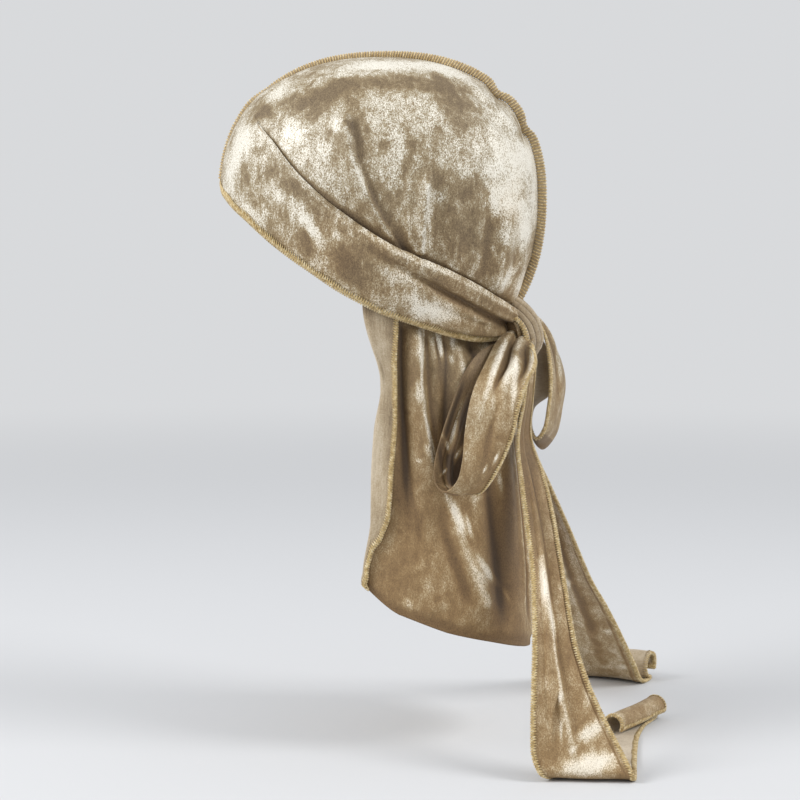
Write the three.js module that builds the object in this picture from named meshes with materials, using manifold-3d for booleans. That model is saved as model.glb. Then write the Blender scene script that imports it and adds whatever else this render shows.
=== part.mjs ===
// A tied durag (head wrap) of crushed velvet, as it sits on a head: two crown panels joined by a raised
// centre seam, a tie round the brow on each side, the knot at the nape with two bow loops and two long
// ends, and a neck flap. Millimetres, +Z up. The wearer faces -Y and the wearer's left is +X. The origin is
// the inside of the crown, at the top of the head.
import * as THREE from "three";
import { mergeVertices } from "three/addons/utils/BufferGeometryUtils.js";
import Module from "manifold-3d";

// ---- Driving sizes -------------------------------------------------------------------------------------
const CLOTH = 1.6; // thickness of one layer of velvet
const CLEAR = 0.35; // gap between neighbouring pieces
const HEAD_CENTRE = new THREE.Vector3(0, -12, -84);
const HEAD = { front: 94, back: 95, side: 76, top: 84, below: 110, belowNape: 100, roundness: 2.3 };
const BAND_TILT = 23; // the band's plane falls this many degrees from the brow to the nape
const BROW = 7; // angle of the brow's edge over the head from straight ahead, in degrees
// The centre seam: the angles over the head between which the panels meet at it, and its section.
// It grows from its height at the front to that at the rear between two more angles.
const SEAM = {
  from: 37,
  to: 216,
  height: 3.4,
  rearHeight: 5.2,
  rises: 80,
  tall: 143,
  thickness: 3.2,
  narrows: 0.25,
  foot: 0.1,
};
const BAND_END = 176; // the band reaches the knot at this angle round the head
const UNDER_BAND = 0.45; // the cloth under the band ends at this share of the band's height
const TUCK = 0.86; // share of a crown panel's height that shows above the band
const CROWN_PUFF = { height: 2.2, from: 0.2, full: 0.6 }; // the panels puff out along this share of the seam
const BROW_FLUSH = { full: 0.16, none: 0.28 }; // up to this share of the seam they lie flush with the band
// The flap: roundness and y axis of its plan, the angle round the head where it starts, the length round
// half of it, the share of its rows under the band, the drop over which it leaves the head, and the half
// sizes of its mean plan.
const FLAP = { round: 2.2, axis: 6, from: 107, length: 160, tuck: 0.1, fall: 0.28, side: 66, deep: 70 };
const FLAP_TOP = { below: 2, inside: 1.4 }; // its top rows against the band's edge and middle, in degrees
const KNOT = { at: new THREE.Vector3(4, 76.5, -165), wide: 17, deep: 12.5, tall: 15, lap: 0.08 };
const FLOOR = -414; // the surface that the two long ends reach
const LYING = FLOOR + CLOTH / 2; // height of the middle of cloth that lies on it
// Facets of each piece, along and across it.
const DETAIL = {
  crown: [28, 8],
  seam: 34,
  band: [28, 6],
  flap: [13, 20],
  loopLeft: [32, 5],
  loopRight: [30, 4],
  tie: [38, 4],
};

const RAD = Math.PI / 180;
const ROLL_DEGREES = [0, 50, 100, 150, 200, 250, 300]; // the steps of a rolled end
const UP = new THREE.Vector3(0, Math.sin(BAND_TILT * RAD), Math.cos(BAND_TILT * RAD));
const FORWARD = new THREE.Vector3(0, -Math.cos(BAND_TILT * RAD), Math.sin(BAND_TILT * RAD));

// ---- Tables --------------------------------------------------------------------------------------------
// The band: angle round the head from the brow, the heights of its two edges above the band's plane
// (degrees), how far it stands off the head, and how much its middle bulges.
const BAND_ROWS = [
  { turn: 0, low: -16.5, high: 14.0, lift: 0, belly: 0.5 },
  { turn: 25, low: -21.2, high: 11.5, lift: 0, belly: 0.8 },
  { turn: 44, low: -25.8, high: 5.0, lift: 0, belly: 1.5 },
  { turn: 61, low: -30.8, high: -2.6, lift: 0, belly: 2.5 },
  { turn: 78, low: -34.4, high: -8.6, lift: 0, belly: 3.5 },
  { turn: 97, low: -36.0, high: -12.3, lift: 3.2, belly: 3.6 },
  { turn: 115, low: -35.4, high: -13.4, lift: 4.4, belly: 4.2 },
  { turn: 133, low: -33.0, high: -13.0, lift: 2.6, belly: 5.0 },
  { turn: 146, low: -31.2, high: -13.6, lift: 2, belly: 4.5 },
  { turn: 158, low: -28.6, high: -14.6, lift: 4, belly: 3.5 },
  { turn: 168, low: -26.0, high: -15.6, lift: 6, belly: 2.5 },
  { turn: 176, low: -24.5, high: -16.4, lift: 8, belly: 2.0 },
];
// The groove under the band's rolled upper fold: angle round the head, height in degrees, depth.
const ROLL_ROWS = [
  { turn: 100, height: -17.0, depth: 0 },
  { turn: 122, height: -18.6, depth: 1.6 },
  { turn: 145, height: -19.7, depth: 2.6 },
  { turn: 176, height: -20.4, depth: 2.2 },
];
const GROOVE_HALF = 1.8; // half width of that groove, in degrees
// Pleats of a crown panel, each from its head down to the band: points fore-aft (y) and up (z), how far it
// stands out, and its width. A negative height is a furrow.
const CROWN_PLEATS = [
  { y1: -24, z1: -34, y2: -14, z2: -74, y3: 8, z3: -113, height: 4.2, width: 11 },
  { y1: -6, z1: -45, y2: 2, z2: -76, y3: 17, z3: -116, height: -3.4, width: 11 },
  { y1: 25, z1: -74, y2: 24, z2: -92, y3: 24, z3: -118, height: -2.4, width: 9 },
  { y1: 38, z1: -66, y2: 37, z2: -92, y3: 35, z3: -121, height: 3.4, width: 12 },
  { y1: 62, z1: -76, y2: 63, z2: -104, y3: 55, z3: -140, height: -2.6, width: 10 },
  { y1: -62, z1: -48, y2: -44, z2: -72, y3: -20, z3: -94, height: 2.6, width: 11 },
];
// Where the centre seam buckles: angle over the head, depth of the dip, half width in degrees, reach
// to the side.
const SEAM_NOTCHES = [
  { angle: 138, depth: 3.0, half: 3.0, reach: 16 },
  { angle: 154, depth: 2.6, half: 3.0, reach: 14 },
];
// The neck flap hanging: height, half width, reach behind, and where its front fold stands.
const FLAP_LEVELS = [
  { z: -139, side: 66, back: 62, front: -9 },
  { z: -169, side: 63, back: 64, front: -5 },
  { z: -199, side: 62, back: 67, front: -0.5 },
  { z: -221, side: 62, back: 70, front: -3.5 },
  { z: -249, side: 64, back: 74, front: -5 },
  { z: -277, side: 67, back: 77, front: -5 },
  { z: -309, side: 71, back: 80, front: -9 },
  { z: -339, side: 74, back: 82, front: -4 },
  { z: -365, side: 75, back: 83, front: -2 },
];
// The flap's hem, from the front fold (0) to the centre of the back (1).
const HEM_ROWS = [
  { around: 0, z: -316 },
  { around: 0.1, z: -330 },
  { around: 0.3, z: -341 },
  { around: 0.55, z: -349 },
  { around: 0.8, z: -356 },
  { around: 1, z: -360 },
];
// Pleats of the flap: place round it at the band and at the hem, how far it stands out, its width (mm).
const FLAP_PLEATS = [
  { top: 0.19, foot: 0.3, height: -3.0, width: 8 },
  { top: 0.26, foot: 0.62, height: 4.0, width: 9 },
  { top: 0.4, foot: 0.74, height: -3.4, width: 10 },
  { top: 0.5, foot: 0.84, height: 3.0, width: 10 },
  { top: 0.72, foot: 0.93, height: -2.5, width: 10 },
];
// The flap's front edge is turned back outwards, round this radius: height, and length of cloth turned.
const TURN_BACK = { radius: 1.1, rows: [
  { z: -139, length: 26 },
  { z: -169, length: 22 },
  { z: -204, length: 16 },
  { z: -249, length: 17 },
  { z: -279, length: 12 },
  { z: -299, length: 5 },
  { z: -315, length: 3 },
] };

/** Rows of a ribbon's end that rolls up and over from a line on the surface, turning about its own width. */
function rolledEnd({ ax, ay, bx, by }, radius) {
  const width = Math.hypot(bx - ax, by - ay);
  const [outX, outY] = [-(by - ay) / width, (bx - ax) / width];
  return ROLL_DEGREES.map((degrees) => {
    const go = radius * Math.sin(degrees * RAD);
    const z = LYING + radius * (1 - Math.cos(degrees * RAD));
    const [goX, goY] = [go * outX, go * outY];
    return { ax: ax + goX, ay: ay + goY, az: z, bx: bx + goX, by: by + goY, bz: z, belly: 0 };
  });
}

// Ribbons: each row is one section, given by its two edges, and how far its middle bulges (mm).
const LOOP_LEFT_ROWS = [
  { ax: 10, ay: 74, az: -156, bx: 14, by: 86, bz: -164, belly: 1 },
  { ax: 32, ay: 63, az: -169, bx: 34, by: 85, bz: -171, belly: 4 },
  { ax: 52, ay: 57, az: -183, bx: 50, by: 86, bz: -183, belly: 6 },
  { ax: 64, ay: 52, az: -195, bx: 59, by: 82, bz: -195, belly: 7 },
  { ax: 72, ay: 49, az: -208, bx: 65, by: 78, bz: -208, belly: 8 },
  { ax: 76, ay: 47, az: -223, bx: 67, by: 75, bz: -223, belly: 8 },
  { ax: 79, ay: 46, az: -238, bx: 69, by: 69, bz: -238, belly: 8 },
  { ax: 80, ay: 43, az: -250, bx: 69, by: 62, bz: -250, belly: 6 },
  { ax: 77, ay: 36, az: -256, bx: 66, by: 55, bz: -257, belly: 4 },
  { ax: 72, ay: 30, az: -252, bx: 62, by: 48, bz: -252, belly: 3 },
  { ax: 71, ay: 29, az: -241, bx: 60, by: 47, bz: -240, belly: 3 },
  { ax: 68, ay: 33, az: -223, bx: 57, by: 51, bz: -222, belly: 3 },
  { ax: 62, ay: 39, az: -204, bx: 50, by: 57, bz: -204, belly: 3 },
  { ax: 56, ay: 45, az: -188, bx: 43, by: 63, bz: -189, belly: 3 },
  { ax: 44, ay: 52, az: -177, bx: 32, by: 68, bz: -178, belly: 2 },
  { ax: 14, ay: 69, az: -169, bx: 8, by: 80, bz: -172, belly: 1 },
];
const LOOP_RIGHT_ROWS = [
  { ax: 2, ay: 79, az: -155, bx: -6, by: 80, bz: -155, belly: 0 },
  { ax: 0, ay: 86, az: -162, bx: -28, by: 84, bz: -161, belly: 1 },
  { ax: -4, ay: 90, az: -171, bx: -36, by: 91, bz: -172, belly: 2 },
  { ax: -6, ay: 91.8, az: -184, bx: -39, by: 97.5, bz: -187, belly: 2 },
  { ax: -6, ay: 92.2, az: -198, bx: -40, by: 100.4, bz: -201, belly: 2 },
  { ax: -7, ay: 91.5, az: -211, bx: -40, by: 98.5, bz: -215, belly: 2 },
  { ax: -8, ay: 88, az: -223, bx: -40, by: 92.5, bz: -230, belly: 2 },
  { ax: -11, ay: 83, az: -227, bx: -39, by: 85, bz: -237, belly: 1 },
  { ax: -12, ay: 80, az: -219, bx: -38, by: 79.5, bz: -229, belly: 1 },
  { ax: -10, ay: 79.5, az: -205, bx: -36, by: 78.5, bz: -211, belly: 1 },
  { ax: -8, ay: 79.5, az: -189, bx: -30, by: 78, bz: -191, belly: 1 },
  { ax: -3, ay: 79, az: -165, bx: -10, by: 77, bz: -165, belly: 0 },
];
const TAIL_LEFT_ROWS = [
  { ax: 12, ay: 80, az: -165, bx: 4, by: 84, bz: -167, belly: 0 },
  { ax: 20, ay: 80, az: -185, bx: 4, by: 84, bz: -185, belly: 1 },
  { ax: 28, ay: 78, az: -207, bx: 6, by: 82.5, bz: -207, belly: 2 },
  { ax: 35, ay: 75, az: -229, bx: 12, by: 82, bz: -229, belly: 3 },
  { ax: 47, ay: 78, az: -253, bx: 28, by: 91, bz: -251, belly: 3 },
  { ax: 60, ay: 82, az: -276, bx: 44, by: 98, bz: -274, belly: 3 },
  { ax: 73, ay: 86, az: -299, bx: 58, by: 103, bz: -297, belly: 4 },
  { ax: 88, ay: 88, az: -321, bx: 74, by: 108, bz: -319, belly: 4 },
  { ax: 100, ay: 89, az: -343, bx: 87, by: 113, bz: -341, belly: 4 },
  { ax: 109, ay: 89, az: -364, bx: 97, by: 121, bz: -362, belly: 4 },
  { ax: 115, ay: 89, az: -384, bx: 104, by: 131, bz: -382, belly: 3 },
  { ax: 119, ay: 90, az: -401, bx: 111, by: 141, bz: -399, belly: 2 },
  { ax: 120, ay: 94, az: -410, bx: 117, by: 147, bz: -409.5, belly: 1 },
  { ax: 115, ay: 98, az: LYING, bx: 113, by: 148, bz: LYING, belly: 0 },
  { ax: 84, ay: 100, az: LYING, bx: 80, by: 148, bz: LYING, belly: 0 },
  { ax: 50, ay: 106, az: LYING, bx: 44, by: 148, bz: LYING, belly: 0 },
  { ax: 28, ay: 116, az: LYING, bx: 10, by: 149, bz: LYING, belly: 0 },
  { ax: 16, ay: 127, az: LYING, bx: -20, by: 153, bz: LYING, belly: 0 },
  ...rolledEnd({ ax: 11, ay: 133, bx: -48, by: 160 }, 7),
];
const TAIL_RIGHT_ROWS = [
  { ax: 4, ay: 76, az: -167, bx: -8, by: 73, bz: -167, belly: 0 },
  { ax: -2, ay: 74, az: -189, bx: -16, by: 71, bz: -189, belly: 1 },
  { ax: -6, ay: 76, az: -214, bx: -26, by: 71, bz: -214, belly: 1 },
  { ax: -18, ay: 83, az: -242, bx: -42, by: 70, bz: -242, belly: 1 },
  { ax: -38, ay: 92.6, az: -267, bx: -60, by: 72, bz: -267, belly: 2 },
  { ax: -55, ay: 104, az: -296, bx: -80, by: 78, bz: -296, belly: 3 },
  { ax: -73, ay: 117, az: -331, bx: -98, by: 84, bz: -333, belly: 3 },
  { ax: -92, ay: 126, az: -351, bx: -116, by: 88, bz: -355, belly: 3 },
  { ax: -112, ay: 136, az: -375, bx: -136, by: 92, bz: -382, belly: 2 },
  { ax: -133, ay: 145.5, az: -400, bx: -155, by: 95, bz: -403, belly: 1 },
  { ax: -143, ay: 149, az: -410, bx: -164, by: 97, bz: -411, belly: 0 },
  { ax: -150, ay: 152, az: LYING, bx: -171, by: 99, bz: LYING, belly: 0 },
  ...rolledEnd({ ax: -163, ay: 156, bx: -184, by: 104 }, 8.5),
];

// ---- Small tools ---------------------------------------------------------------------------------------
const clamp = (x, low, high) => Math.min(high, Math.max(low, x));
const smooth = (from, to, x) => THREE.MathUtils.smoothstep(x, from, to);
const bump = (x) => Math.exp(-x * x);

/** One column of a table at a key's value, through smooth (Catmull-Rom) steps between its rows. */
function read(rows, key, at, column) {
  const last = rows.length - 1;
  const rising = rows[last][key] > rows[0][key] ? 1 : -1;
  let i = 0;
  while (i < last - 1 && (at - rows[i + 1][key]) * rising > 0) i += 1;
  const t = clamp((at - rows[i][key]) / (rows[i + 1][key] - rows[i][key]), 0, 1);
  const [a, b] = [rows[i][column], rows[i + 1][column]];
  const before = i > 0 ? rows[i - 1][column] : 2 * a - b;
  const after = i < last - 1 ? rows[i + 2][column] : 2 * b - a;
  const rise = b - a;
  const steepest = 3 * Math.abs(rise);
  const keep = (slope) => (slope * rise <= 0 ? 0 : clamp(slope, -steepest, steepest));
  const [m0, m1] = [keep((b - before) / 2), keep((after - a) / 2)];
  const [t2, t3] = [t * t, t * t * t];
  return (2 * t3 - 3 * t2 + 1) * a + (t3 - 2 * t2 + t) * m0 + (3 * t2 - 2 * t3) * b + (t3 - t2) * m1;
}

/** A closed solid between two sheets: place(u, v, side) with side 0 for the inner and 1 for the outer. */
function sheetSolid(us, vs, place) {
  const [nu, nv] = [us.length, vs.length];
  const positions = [];
  for (const side of [0, 1]) {
    for (const u of us) for (const v of vs) positions.push(...place(u, v, side).toArray());
  }
  const id = (side, i, j) => side * nu * nv + i * nv + j;
  const faces = [];
  const quad = (a, b, c, d) => faces.push(a, b, c, a, c, d);
  for (let i = 0; i < nu - 1; i += 1) {
    for (let j = 0; j < nv - 1; j += 1) {
      quad(id(1, i, j), id(1, i + 1, j), id(1, i + 1, j + 1), id(1, i, j + 1));
      quad(id(0, i, j), id(0, i, j + 1), id(0, i + 1, j + 1), id(0, i + 1, j));
    }
  }
  const edge = [];
  for (let i = 0; i < nu - 1; i += 1) edge.push([i, 0]);
  for (let j = 0; j < nv - 1; j += 1) edge.push([nu - 1, j]);
  for (let i = nu - 1; i > 0; i -= 1) edge.push([i, nv - 1]);
  for (let j = nv - 1; j > 0; j -= 1) edge.push([0, j]);
  edge.forEach(([i, j], k) => {
    const [m, n] = edge[(k + 1) % edge.length];
    quad(id(1, i, j), id(0, i, j), id(0, m, n), id(1, m, n));
  });
  const geometry = new THREE.BufferGeometry();
  geometry.setAttribute("position", new THREE.Float32BufferAttribute(positions, 3));
  geometry.setIndex(faces);
  return facingOut(geometry);
}

/** Turns a closed geometry's faces outwards. */
function facingOut(geometry) {
  const index = geometry.index.array;
  const corner = (k) => new THREE.Vector3().fromBufferAttribute(geometry.attributes.position, index[k]);
  let volume = 0;
  for (let k = 0; k < index.length; k += 3) volume += corner(k).dot(corner(k + 1).cross(corner(k + 2)));
  if (volume >= 0) return geometry;
  for (let k = 0; k < index.length; k += 3) [index[k + 1], index[k + 2]] = [index[k + 2], index[k + 1]];
  return geometry;
}

/** Steps from 0 to 1. */
const steps = (count) => Array.from({ length: count + 1 }, (_, i) => i / count);

// ---- The head's form -----------------------------------------------------------------------------------
/** Distance from the head's centre to the inside of the cap along a unit direction. */
function headRadius(d) {
  const { front, back, side, top, below, belowNape, roundness: n } = HEAD;
  const behind = Math.max(0, d.y / (Math.abs(d.x) + Math.abs(d.y) + 1e-9));
  const deep = d.z > 0 ? top : below + (belowNape - below) * behind;
  const shares = [d.x / side, d.y / (d.y < 0 ? front : back), d.z / deep];
  return shares.reduce((sum, share) => sum + Math.abs(share) ** n, 0) ** (-1 / n);
}

/** Unit direction at an angle round the head from the brow and a height over the band's plane (degrees). */
function bandDirection(turn, height) {
  const level = Math.cos(height * RAD);
  return FORWARD.clone().multiplyScalar(level * Math.cos(turn * RAD))
    .add(new THREE.Vector3(level * Math.sin(turn * RAD), 0, 0))
    .addScaledVector(UP, Math.sin(height * RAD));
}

/** Unit direction of the centre seam, at an angle over the head from straight ahead. */
const seamDirection = (angle) => new THREE.Vector3(0, -Math.cos(angle * RAD), Math.sin(angle * RAD));

const onHead = (d, offset) => d.clone().multiplyScalar(headRadius(d) + offset).add(HEAD_CENTRE);

/** The great circle from one unit direction to another. */
function between(a, b, t) {
  const angle = Math.acos(clamp(a.dot(b), -1, 1));
  if (angle < 1e-6) return a.clone();
  return a.clone().multiplyScalar(Math.sin((1 - t) * angle) / Math.sin(angle))
    .addScaledVector(b, Math.sin(t * angle) / Math.sin(angle)).normalize();
}

// ---- Crown panels and centre seam ----------------------------------------------------------------------
/** Height above the band's plane, in degrees, at which cloth tucked under the band ends. */
const underBand = (turn) => THREE.MathUtils.lerp(read(BAND_ROWS, "turn", turn, "low"),
  read(BAND_ROWS, "turn", turn, "high"), UNDER_BAND);

/** How far the seam and the cloth beside it dip at an angle over the head, at a distance from the seam. */
function seamDip(angle, beside) {
  return SEAM_NOTCHES.reduce((sum, { angle: at, depth, half, reach }) =>
    sum - depth * bump((angle - at) / half) * bump(beside / reach), 0);
}

/** Height of a pleat's section at a point, from its line through three (y, z) points. */
function pleatHeight({ y1, z1, y2, z2, y3, z3, height, width }, y, z) {
  let nearest = Infinity;
  let along = 0;
  const legs = [[y1, z1, y2, z2, 0], [y2, z2, y3, z3, 0.5]];
  for (const [ya, za, yb, zb, start] of legs) {
    const [dy, dz] = [yb - ya, zb - za];
    const t = clamp(((y - ya) * dy + (z - za) * dz) / (dy * dy + dz * dz), 0, 1);
    const gap = Math.hypot(y - ya - t * dy, z - za - t * dz);
    if (gap < nearest) [nearest, along] = [gap, start + t / 2];
  }
  return height * smooth(-0.05, 0.5, along) * bump(nearest / (width * 0.6));
}

/** A point of a crown panel: angle runs back over the head, t down from the seam to the tucked edge. */
function crownPlace(angle, t, side) {
  const s = (angle - SEAM.from) / (SEAM.to - SEAM.from);
  const turn = BAND_END * s;
  const edge = bandDirection(turn, read(BAND_ROWS, "turn", turn, "high"));
  const foot = bandDirection(turn, underBand(turn));
  const shown = between(seamDirection(angle), edge, Math.min(t / TUCK, 1));
  const d = t < TUCK ? shown : between(edge, foot, (t - TUCK) / (1 - TUCK));
  const shows = smooth(0, 0.07, TUCK - t);
  const base = onHead(d, 0);
  const relief = CROWN_PLEATS.reduce((sum, pleat) => sum + pleatHeight(pleat, base.y, base.z), 0);
  const puff = CROWN_PUFF.height * smooth(CROWN_PUFF.from, CROWN_PUFF.full, s) * smooth(0.2, 0.8, t);
  const flush = (CLOTH + CLEAR) * (1 - smooth(BROW_FLUSH.full, BROW_FLUSH.none, s)) * smooth(0.35, 0.7, t);
  const beside = Math.abs(d.x) * headRadius(d);
  const p = onHead(d, (relief + puff + flush) * shows + seamDip(angle, beside) + side * CLOTH);
  p.x = Math.max(p.x, 0) + CLEAR / 2;
  return p;
}

/** Angles along the seam, closer together at its notches. */
function seamAngles(from, count) {
  const even = steps(count).map((s) => from + (SEAM.to - from) * s);
  const far = even.filter((a) => SEAM_NOTCHES.every(({ angle, half }) => Math.abs(a - angle) >= half * 1.6));
  const near = SEAM_NOTCHES.flatMap(({ angle, half }) =>
    [-1.6, -0.8, 0, 0.8, 1.6].map((k) => angle + k * half));
  return [...far, ...near].sort((a, b) => a - b);
}

const crownPanel = () => {
  const shown = steps(DETAIL.crown[1]).map((t) => t * (TUCK - 0.05));
  return sheetSolid(seamAngles(SEAM.from, DETAIL.crown[0]), [...shown, TUCK, 1], crownPlace);
};

/** The raised seam: the two panels' edges sewn together, standing up along the middle of the head. */
function centreSeam() {
  const ridge = (angle, across, side) => {
    const tall = THREE.MathUtils.lerp(SEAM.height, SEAM.rearHeight, smooth(SEAM.rises, SEAM.tall, angle));
    const onBand = 1 - smooth(SEAM.from - 2, SEAM.from + 8, angle);
    const rise = (CLOTH + CLEAR + BAND_ROWS[0].belly) * onBand;
    const foot = CLOTH + CLEAR + SEAM.foot + rise + seamDip(angle, 0);
    const p = onHead(seamDirection(angle), foot + across * tall);
    p.x = (side - 0.5) * SEAM.thickness * (1 - SEAM.narrows * across);
    return p;
  };
  return sheetSolid(seamAngles(BROW, DETAIL.seam), steps(1), ridge);
}

// ---- Band ----------------------------------------------------------------------------------------------
function bandPlace(u, v, side) {
  const turn = BAND_END * u;
  const row = (column) => read(BAND_ROWS, "turn", turn, column);
  const height = row("low") + (row("high") - row("low")) * v;
  const roll = (column) => read(ROLL_ROWS, "turn", Math.max(turn, ROLL_ROWS[0].turn), column);
  const groove = roll("depth") * bump((height - roll("height")) / GROOVE_HALF);
  const inner = CLOTH + CLEAR + row("lift") + row("belly") * Math.sin(Math.PI * v) ** 0.7 - groove;
  const p = onHead(bandDirection(turn, height), inner + side * CLOTH);
  p.x = Math.max(p.x, 0) + CLEAR / 2;
  return p;
}
const band = () => sheetSolid(steps(DETAIL.band[0]), steps(DETAIL.band[1]), bandPlace);

// ---- Neck flap -----------------------------------------------------------------------------------------
/** The flap's plan at a height: a point on its rounded outline, from the front fold (0) to the back (1). */
function flapPlan(z, around) {
  const at = (column) => read(FLAP_LEVELS, "z", z, column);
  const [side, deep] = [at("side"), at("back") - FLAP.axis];
  const start = Math.asin(clamp((at("front") - FLAP.axis) / deep, -1, 1));
  const angle = start + (Math.PI / 2 - start) * around;
  const power = 2 / FLAP.round;
  const x = side * Math.abs(Math.cos(angle)) ** power;
  const y = FLAP.axis + deep * Math.sign(angle) * Math.abs(Math.sin(angle)) ** power;
  return new THREE.Vector3(x, y, z);
}

/** Middle of the flap's cloth: down 0 under the band and 1 at the hem. */
function flapMiddle(down, around) {
  const turn = FLAP.from + (BAND_END + 2 - FLAP.from) * around;
  const under = Math.min(down / FLAP.tuck, 1);
  const low = read(BAND_ROWS, "turn", Math.min(turn, BAND_END), "low") - FLAP_TOP.below;
  const head = underBand(turn) - FLAP_TOP.inside;
  const top = onHead(bandDirection(turn, head + (low - head) * under), CLOTH / 2);
  if (down < FLAP.tuck) return top;
  const drop = (down - FLAP.tuck) / (1 - FLAP.tuck);
  const z = top.z + (read(HEM_ROWS, "around", around, "z") - top.z) * drop;
  const hang = flapPlan(z, around);
  const fall = smooth(0, FLAP.fall, drop);
  const p = new THREE.Vector3(top.x + (hang.x - top.x) * fall, top.y + (hang.y - top.y) * fall, z);
  const out = new THREE.Vector3(p.x / FLAP.side, (p.y - FLAP.axis) / FLAP.deep, 0).normalize();
  const height = FLAP_PLEATS.reduce((sum, { top: a, foot: b, height: h, width: w }) =>
    sum + h * bump(((around - a - (b - a) * drop) * FLAP.length) / (w * 0.6)), 0);
  return p.addScaledVector(out, height * smooth(0.02, 0.25, drop));
}

/** A point of the flap: around below 0 lies on the part of its front edge that is turned back. */
function flapPlace(down, around, side, turned) {
  const step = 1e-3;
  const at = Math.max(around, 0);
  const here = flapMiddle(down, at);
  const onward = flapMiddle(down, at + step).sub(flapMiddle(down, Math.max(at - step, 0))).normalize();
  const above = flapMiddle(Math.max(down - step, 0), at);
  const lower = flapMiddle(Math.min(down + step, 1), at).sub(above).normalize();
  const out = new THREE.Vector3().crossVectors(onward, lower).normalize();
  if (out.x * here.x + out.y * (here.y - FLAP.axis) < 0) out.negate();
  if (around >= 0 || !turned) return here.addScaledVector(out, (side - 0.5) * CLOTH);
  const { radius, rows } = TURN_BACK;
  const length = -around * read(rows, "z", here.z, "length");
  const angle = Math.min(Math.PI, length / radius);
  const rest = Math.max(0, length - Math.PI * radius);
  const sheet = radius + (0.5 - side) * CLOTH;
  return here.addScaledVector(onward, -sheet * Math.sin(angle) + rest)
    .addScaledVector(out, radius - sheet * Math.cos(angle));
}

const flapHalf = (turned) => {
  const arounds = [...(turned ? [-1, -0.6, -0.3, -0.2, -0.1] : []), ...steps(DETAIL.flap[1])];
  const downs = [0, ...steps(DETAIL.flap[0]).map((k) => FLAP.tuck + (1 - FLAP.tuck) * k)];
  return sheetSolid(downs, arounds, (down, around, side) => {
    const p = flapPlace(down, around, side, turned);
    p.x = Math.max(p.x, 0) + CLEAR / 2;
    return p;
  });
};

// ---- Knot, loops and tails -----------------------------------------------------------------------------
/** The knot: a rounded lump with the lap of the tie across it. */
function knotShape(grow) {
  const geometry = new THREE.SphereGeometry(1, 20, 12);
  const position = geometry.attributes.position;
  for (let i = 0; i < position.count; i += 1) {
    const d = new THREE.Vector3().fromBufferAttribute(position, i);
    const lap = 1 + KNOT.lap * (1 - d.y * d.y) * Math.cos(3 * Math.atan2(d.z, d.x) + 2 * d.y);
    position.setXYZ(i, d.x * (KNOT.wide * lap + grow) + KNOT.at.x,
      d.y * (KNOT.deep * lap + grow) + KNOT.at.y, d.z * (KNOT.tall * lap + grow) + KNOT.at.z);
  }
  return geometry;
}

/** A ribbon of cloth through its rows' sections. */
function ribbon(rows, along, across) {
  const edge = (name) => new THREE.CatmullRomCurve3(
    rows.map((r) => new THREE.Vector3(r[`${name}x`], r[`${name}y`], r[`${name}z`])), false, "centripetal");
  const [left, right] = [edge("a"), edge("b")];
  const belly = (u) => {
    const k = clamp(u * (rows.length - 1), 0, rows.length - 1);
    const i = Math.min(Math.floor(k), rows.length - 2);
    return rows[i].belly + (rows[i + 1].belly - rows[i].belly) * (k - i);
  };
  const middle = (u, v) => {
    const [a, b] = [left.getPoint(clamp(u, 0, 1)), right.getPoint(clamp(u, 0, 1))];
    return a.lerp(b, v);
  };
  const step = 2e-3;
  const normalAt = (u, v) => {
    const on = middle(u + step, v).sub(middle(u - step, v));
    const over = middle(u, v + step).sub(middle(u, v - step));
    return new THREE.Vector3().crossVectors(over, on).normalize();
  };
  return sheetSolid(steps(along), steps(across), (u, v, side) => {
    const normal = normalAt(u, 0.5);
    const bulge = belly(u) * Math.sin(Math.PI * v);
    return middle(u, v).addScaledVector(normal, bulge + (side - 0.5) * CLOTH);
  });
}

// ---- Cutting -------------------------------------------------------------------------------------------
const wasm = await Module();
wasm.setup();

function solid(geometry) {
  const bare = geometry.clone();
  bare.deleteAttribute("normal");
  bare.deleteAttribute("uv");
  const merged = mergeVertices(bare, 1e-3);
  const mesh = new wasm.Mesh({
    numProp: 3,
    vertProperties: new Float32Array(merged.attributes.position.array),
    triVerts: new Uint32Array(merged.index.array),
  });
  return new wasm.Manifold(mesh);
}

/** A geometry with others cut away from it. */
function cutBy(geometry, ...tools) {
  const left = tools.reduce((body, tool) => body.subtract(solid(tool)), solid(geometry)).getMesh();
  const cut = new THREE.BufferGeometry();
  cut.setAttribute("position", new THREE.BufferAttribute(left.vertProperties, 3));
  cut.setIndex(new THREE.BufferAttribute(left.triVerts, 1));
  return cut;
}

/** The same geometry on the wearer's other side. */
const mirrored = (geometry) => facingOut(geometry.clone().scale(-1, 1, 1));

// ---- Materials and assembly ----------------------------------------------------------------------------
const velvet = { color: 0xb9a382, roughness: 0.45, metalness: 0 };
const velvetDark = { color: 0xa18a69, roughness: 0.5, metalness: 0 };
const thread = { color: 0xb59a62, roughness: 0.7, metalness: 0 };

const durag = new THREE.Group();
function add(name, geometry, look) {
  const mesh = new THREE.Mesh(geometry, new THREE.MeshStandardMaterial(look));
  mesh.name = name;
  durag.add(mesh);
}

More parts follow.
